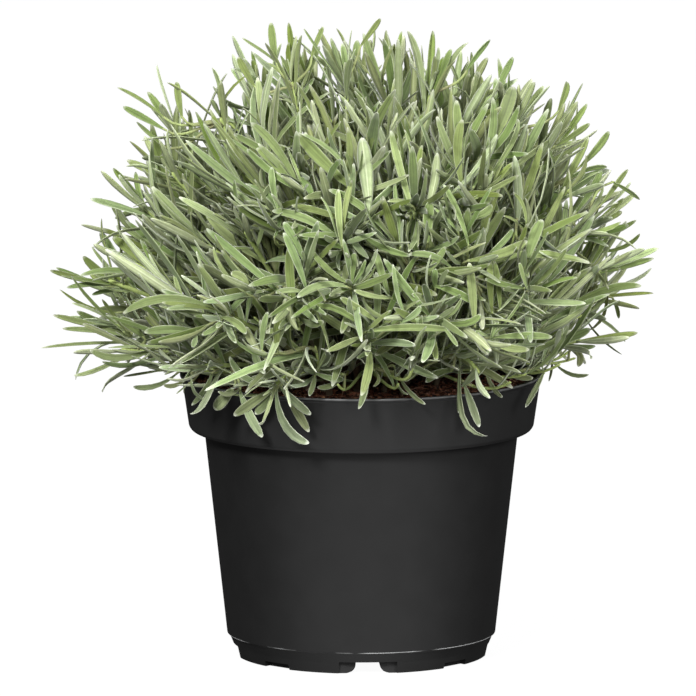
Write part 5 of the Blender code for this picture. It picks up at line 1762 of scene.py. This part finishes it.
    ((85, -113, 209), (82, -117, 217), (81, -115, 223), 2.4, 0.40, 0.75, 20),
    ((66, -130, 186), (76, -129, 197), (84, -118, 209), 2.1, 0.25, 0.70, 40),
    ((66, -132, 185), (67, -136, 191), (70, -133, 195), 2.6, 0.30, 0.80, 20),
    ((65, -132, 187), (62, -139, 190), (58, -139, 191), 2.4, 0.50, 0.90, 20),
    ((67, -120, 197), (65, -123, 213), (66, -117, 224), 3.9, 0.50, 0.42, 0),
    ((71, -118, 198), (71, -120, 212), (68, -115, 224), 3.4, 0.50, 0.45, 0),
    ((66, -129, 185), (73, -133, 180), (86, -123, 179), 4.2, 0.30, 0.65, 0),
    ((67, -128, 186), (83, -125, 188), (98, -113, 184), 4.2, 0.35, 0.60, 0),
    ((-102, -26, 286), (-112, -24, 295), (-127, -16, 301), 2.8, 0.41, 0.40, 40),
    ((-102, -26, 280), (-114, -24, 287), (-124, -16, 291), 4.0, 0.51, 0.40, 20),
    ((-93, -26, 286), (-95, -24, 296), (-96, -16, 304), 3.8, 0.46, 0.45, 0),
    ((-104, -26, 272), (-111, -24, 279), (-117, -16, 283), 3.1, 0.51, 0.30, 30),
    ((-44, -26, 314), (-46, -24, 325), (-47, -16, 335), 4.1, 0.46, 0.45, 0),
    ((-43, -26, 314), (-52, -24, 324), (-62, -16, 327), 2.9, 0.41, 0.50, 50),
    ((-55, -26, 302), (-60, -24, 311), (-64, -16, 317), 4.1, 0.46, 0.40, 10),
    ((-26, -26, 317), (-24, -24, 327), (-20, -16, 333), 3.3, 0.31, 0.50, -30),
    ((-1, -26, 323), (5, -24, 332), (10, -16, 337), 3.1, 0.41, 0.40, 20),
    ((54, -26, 310), (60, -24, 320), (67, -16, 326), 3.1, 0.41, 0.40, 20),
    ((68, -26, 297), (74, -24, 308), (79, -16, 317), 3.8, 0.41, 0.50, 0),
    ((102, -26, 289), (106, -24, 298), (107, -16, 304), 3.8, 0.46, 0.35, 20),
    ((100, -26, 271), (111, -24, 277), (119, -16, 282), 3.6, 0.41, 0.50, 30),
    ((113, -26, 260), (123, -24, 269), (129, -16, 278), 4.0, 0.46, 0.40, 20),
    ((105, -26, 253), (119, -24, 262), (128, -16, 259), 3.3, 0.41, 0.45, 40),
    ((124, -26, 240), (133, -24, 250), (139, -16, 258), 3.3, 0.36, 0.50, 30),
    ((111, -26, 236), (121, -24, 249), (125, -16, 258), 3.8, 0.36, 0.50, 0),
    ((130, -26, 253), (138, -24, 249), (145, -16, 242), 2.6, 0.46, 0.30, 30),
)


def seenBlade(row, source):
    root, bow, tip, width, age, tone, turn = row
    root, bow, tip = Vector(root), Vector(bow), Vector(tip)
    chord = (tip - root).normalized()
    tilt = math.radians(studio["pitch"])
    front = Vector((0.0, -math.cos(tilt), math.sin(tilt)))
    upper = Quaternion(chord, math.radians(turn)) @ (front - chord * front.dot(chord)).normalized()
    width /= leafForm["widen"]
    blade = bladeOf(root, (bow - root) * 2.0, root - bow * 2.0 + tip, chord.cross(upper), upper, width)
    blade = agedBlade(blade, age, source, "full")
    # painted light and shade: the measured tone carries how brightly each leaf was lit
    blade["tone"] = tone * 0.85
    blade["curl"], blade["sweep"], blade["spin"] = (source.gauss(0.0, size) for size in (0.13, 0.04, 0.25))
    return blade


def twigAnchors(stems, shoots):  # places on the stems and side shoots that twigs can grow from
    anchors = []
    for branch in stems + shoots:
        for step in range(1, int(lineLength(branch["line"]) / growth["anchorStep"])):
            point, direction = along(branch["line"], step * growth["anchorStep"])
            if point.z > growth["anchorLowest"]:
                anchors.append((point, direction, branch["owner"]))
    return anchors


def growTwigs(seen, anchors, thin):  # a twig to each measured leaf from the nearest stem or side shoot
    ends, leaves, twigs = [], [], []
    for blade in seen:
        root, chord = blade["root"], blade["lead"].normalized()
        near = [(root - end).length for end, _ in ends]
        if near and min(near) < growth["sharedTwig"]:
            owner = ends[near.index(min(near))][1]
        else:
            cost = [(root - point).length + 3.0 * max(0.0, root.y + 3.0 - point.y)
                    + 10.0 * (1.0 - direction.dot(chord)) for point, direction, _ in anchors]
            start, direction, owner = anchors[cost.index(min(cost))]
            gap = (root - start).length
            inward = (growth["heart"] - root).normalized()
            behind = root + (inward - chord * 0.6).normalized() * gap * 0.45
            line = curved(start, start + direction * gap * 0.3, behind, root + chord * 0.8, 10)
            side = Vector((1.0, 0.0, 0.2)).normalized()
            twigs.append({"line": line, "side": side, "owner": owner, "pairs": (),
                          "length": lineLength(line)})
            ends.append((root, owner))
            thin.add(thinRods(line, 0, 9, growth["twigRadius"]), owner)
        leaves.append((owner, blade))
    return leaves, twigs


def standsIn(blade, seen):  # whether a measured leaf already shows this leaf's end
    end = blade["points"][-1]
    x, height = seenAt(end)
    near, depth = growth["standIn"]
    for other in seen:
        tip = other["points"][-1]
        otherX, otherHeight = seenAt(tip)
        if math.hypot(x - otherX, height - otherHeight) < near and abs(end.y - tip.y) < depth:
            return True
    return False


def planPlant(source):  # the stems and leaves of the solids, by the same rule and the same random draws
    taken = Taken()
    stems = planStems(source, taken)
    for stem in stems:
        stem["stations"] = stemStations(stem)
        stem["roots"] = leafRoots(stem)
    aimLeaves(stems, source, taken)
    planLeaves(stems, source, taken)
    print("stems planned:", len(stems), "leaves:", sum(len(stem["leaves"]) for stem in stems))
    return stems


def plannedLeaf(blade, pair, source):  # a planned leaf; the low ones are narrower, paler and more wavy, the paleness partly their own grey and partly painted light against the shade low down
    low = lowness(blade["points"][-1].z, *growth["lowFull"])
    blade = agedBlade(blade, 0.10 + 0.10 * pair + source.gauss(0.0, 0.07) + 0.15 * low, source, "full")
    blade["tone"] += (0.85 - blade["tone"]) * 0.7 * low
    for key, size in (("curl", 0.5), ("sweep", 0.45), ("spin", 0.8)):
        blade[key] += source.gauss(0.0, size) * low
    blade["width"] *= 1.0 - 0.2 * low
    return blade


def growFiner(stems, source):  # everything finer keeps thinner room, so the foliage closes up
    thin = Taken()
    leaves = {stem["owner"]: [] for stem in stems}
    twigs = {stem["owner"]: [] for stem in stems}
    for stem in stems:
        rods = [(a, b, radius * growth["stemRadius"]) for a, b, radius in stemRods(stem["line"])]
        thin.add(rods, stem["owner"])
    seen = [seenBlade(row, source) for row in seenLeaves]
    for blade in seen:
        thin.add(bladeRods(blade["root"], blade, growth["thinRoom"]), -1)
    stoodFor = 0
    for stem in stems:
        for (pair, _), blade in stem["leaves"].items():
            if standsIn(blade, seen):
                stoodFor += 1
                continue
            thin.add(bladeRods(blade["root"], blade, growth["thinRoom"]), stem["owner"])
            leaves[stem["owner"]].append(plannedLeaf(blade, pair, source))
    print("measured leaves:", len(seen), "in place of:", stoodFor)

    tips = [tip - plant["tipCentre"] for tip, _ in shootTips()]
    shoots = []
    for count, reach, ages, weights in (
            (growth["outerShoots"], growth["outerReach"], growth["outerAges"],
             lambda spots: 1.0 + 0.4 * spots[:, 2] + 0.15 * spots[:, 0]),
            (growth["innerShoots"], growth["innerReach"], growth["innerAges"], lambda spots: 1.0)):
        aims = shootDirections(count, tips, weights)
        shoots += planShoots(stems, aims, reach, growth["sidePairs"], ages, source, thin)
    seen, seenTwigs = growTwigs(seen, twigAnchors(stems, shoots), thin)
    for owner, blade in seen:
        leaves[owner].append(blade)
    half, ages = growth["twigLeaves"]
    for twig in seenTwigs:
        twigs[twig["owner"]].append(twig)
        if twig["line"][-1].y < growth["bareBehind"]:
            leaves[twig["owner"]] += growPairs(twig, growth["twigPairs"], 1.0, half, 0, ages,
                                               growth["lowestFine"], source, thin, 2.0)
    print("twigs:", len(seenTwigs), "length:", round(sum(twig["length"] for twig in seenTwigs)))
    for shoot in shoots:
        detail = "half" if shoot["ages"][0] < growth["innerAges"][0] else "plain"
        leaves[shoot["owner"]] += growPairs(shoot, shoot["pairs"], shoot["size"], growth["shootHalf"], 0,
                                            shoot["ages"], growth["lowestFine"], source, thin, 1.0, detail)
        twigs[shoot["owner"]].append(shoot)
    print("side shoots:", len(shoots), "leaves:", sum(len(p) for p in leaves.values()))
    for stem in stems:
        for table, (half, ages), jitter in ((growth["tipPairs"], growth["tipLeaves"], 0.0),
                                            (growth["lowerPairs"], growth["lowerLeaves"], 3.0)):
            leaves[stem["owner"]] += growPairs(stem, table, 1.0, half, 1, ages, stem["lowest"], source, thin,
                                               jitter)
    print("with lower leaves:", sum(len(p) for p in leaves.values()))
    for stem in stems:
        leaves[stem["owner"]] += growAxils(stem, growth["stemAxils"], 1.0, source, thin, stem["lowest"])
    for shoot in shoots:
        backs = [back for back in growth["shootAxils"] if back < shoot["length"] - growth["bareFoot"][1]]
        leaves[shoot["owner"]] += growAxils(shoot, backs, growth["shootHalf"], source, thin,
                                            growth["lowestFine"])
    print("leaves in all:", sum(len(p) for p in leaves.values()))
    return leaves, twigs


def buildPlant():
    stems = planPlant(random.Random(plant["seed"]))
    source = random.Random(growth["seed"])
    leaves, twigs = growFiner(stems, source)
    materials = [feltedLeaf(), lavenderStem()]
    faces = 0
    for stem in stems:
        owner = stem["owner"]
        parts = Parts()
        nodes = [spec[0] for spec in plant["pairs"] + growth["lowerPairs"]]
        halves = plant["stemHalfLow"], plant["stemHalfHigh"]
        addStem(parts, stem["line"], stem["side"], *halves, nodes, growth["stemAges"], source)
        for shoot in twigs[owner]:
            nodes = [spec[0] for spec in shoot["pairs"][2:]]
            ages = growth["shootAges" if nodes else "twigAges"]
            addStem(parts, shoot["line"], shoot["side"], *growth["sideHalf"], nodes, ages, source)
        for blade in leaves[owner]:
            addLeaf(parts, blade)
        piece = parts.build(f"leafyStem{owner + 1:02d}", materials)
        faces += sum(len(p.vertices) - 2 for p in piece.data.polygons)
        keep(piece, "leaf", f"leafy_stem_{owner + 1:02d}")
    print("foliage ready:", faces, "triangles")


buildStudio()
buildPot()
buildCompost(peatCompost())
buildPlant()
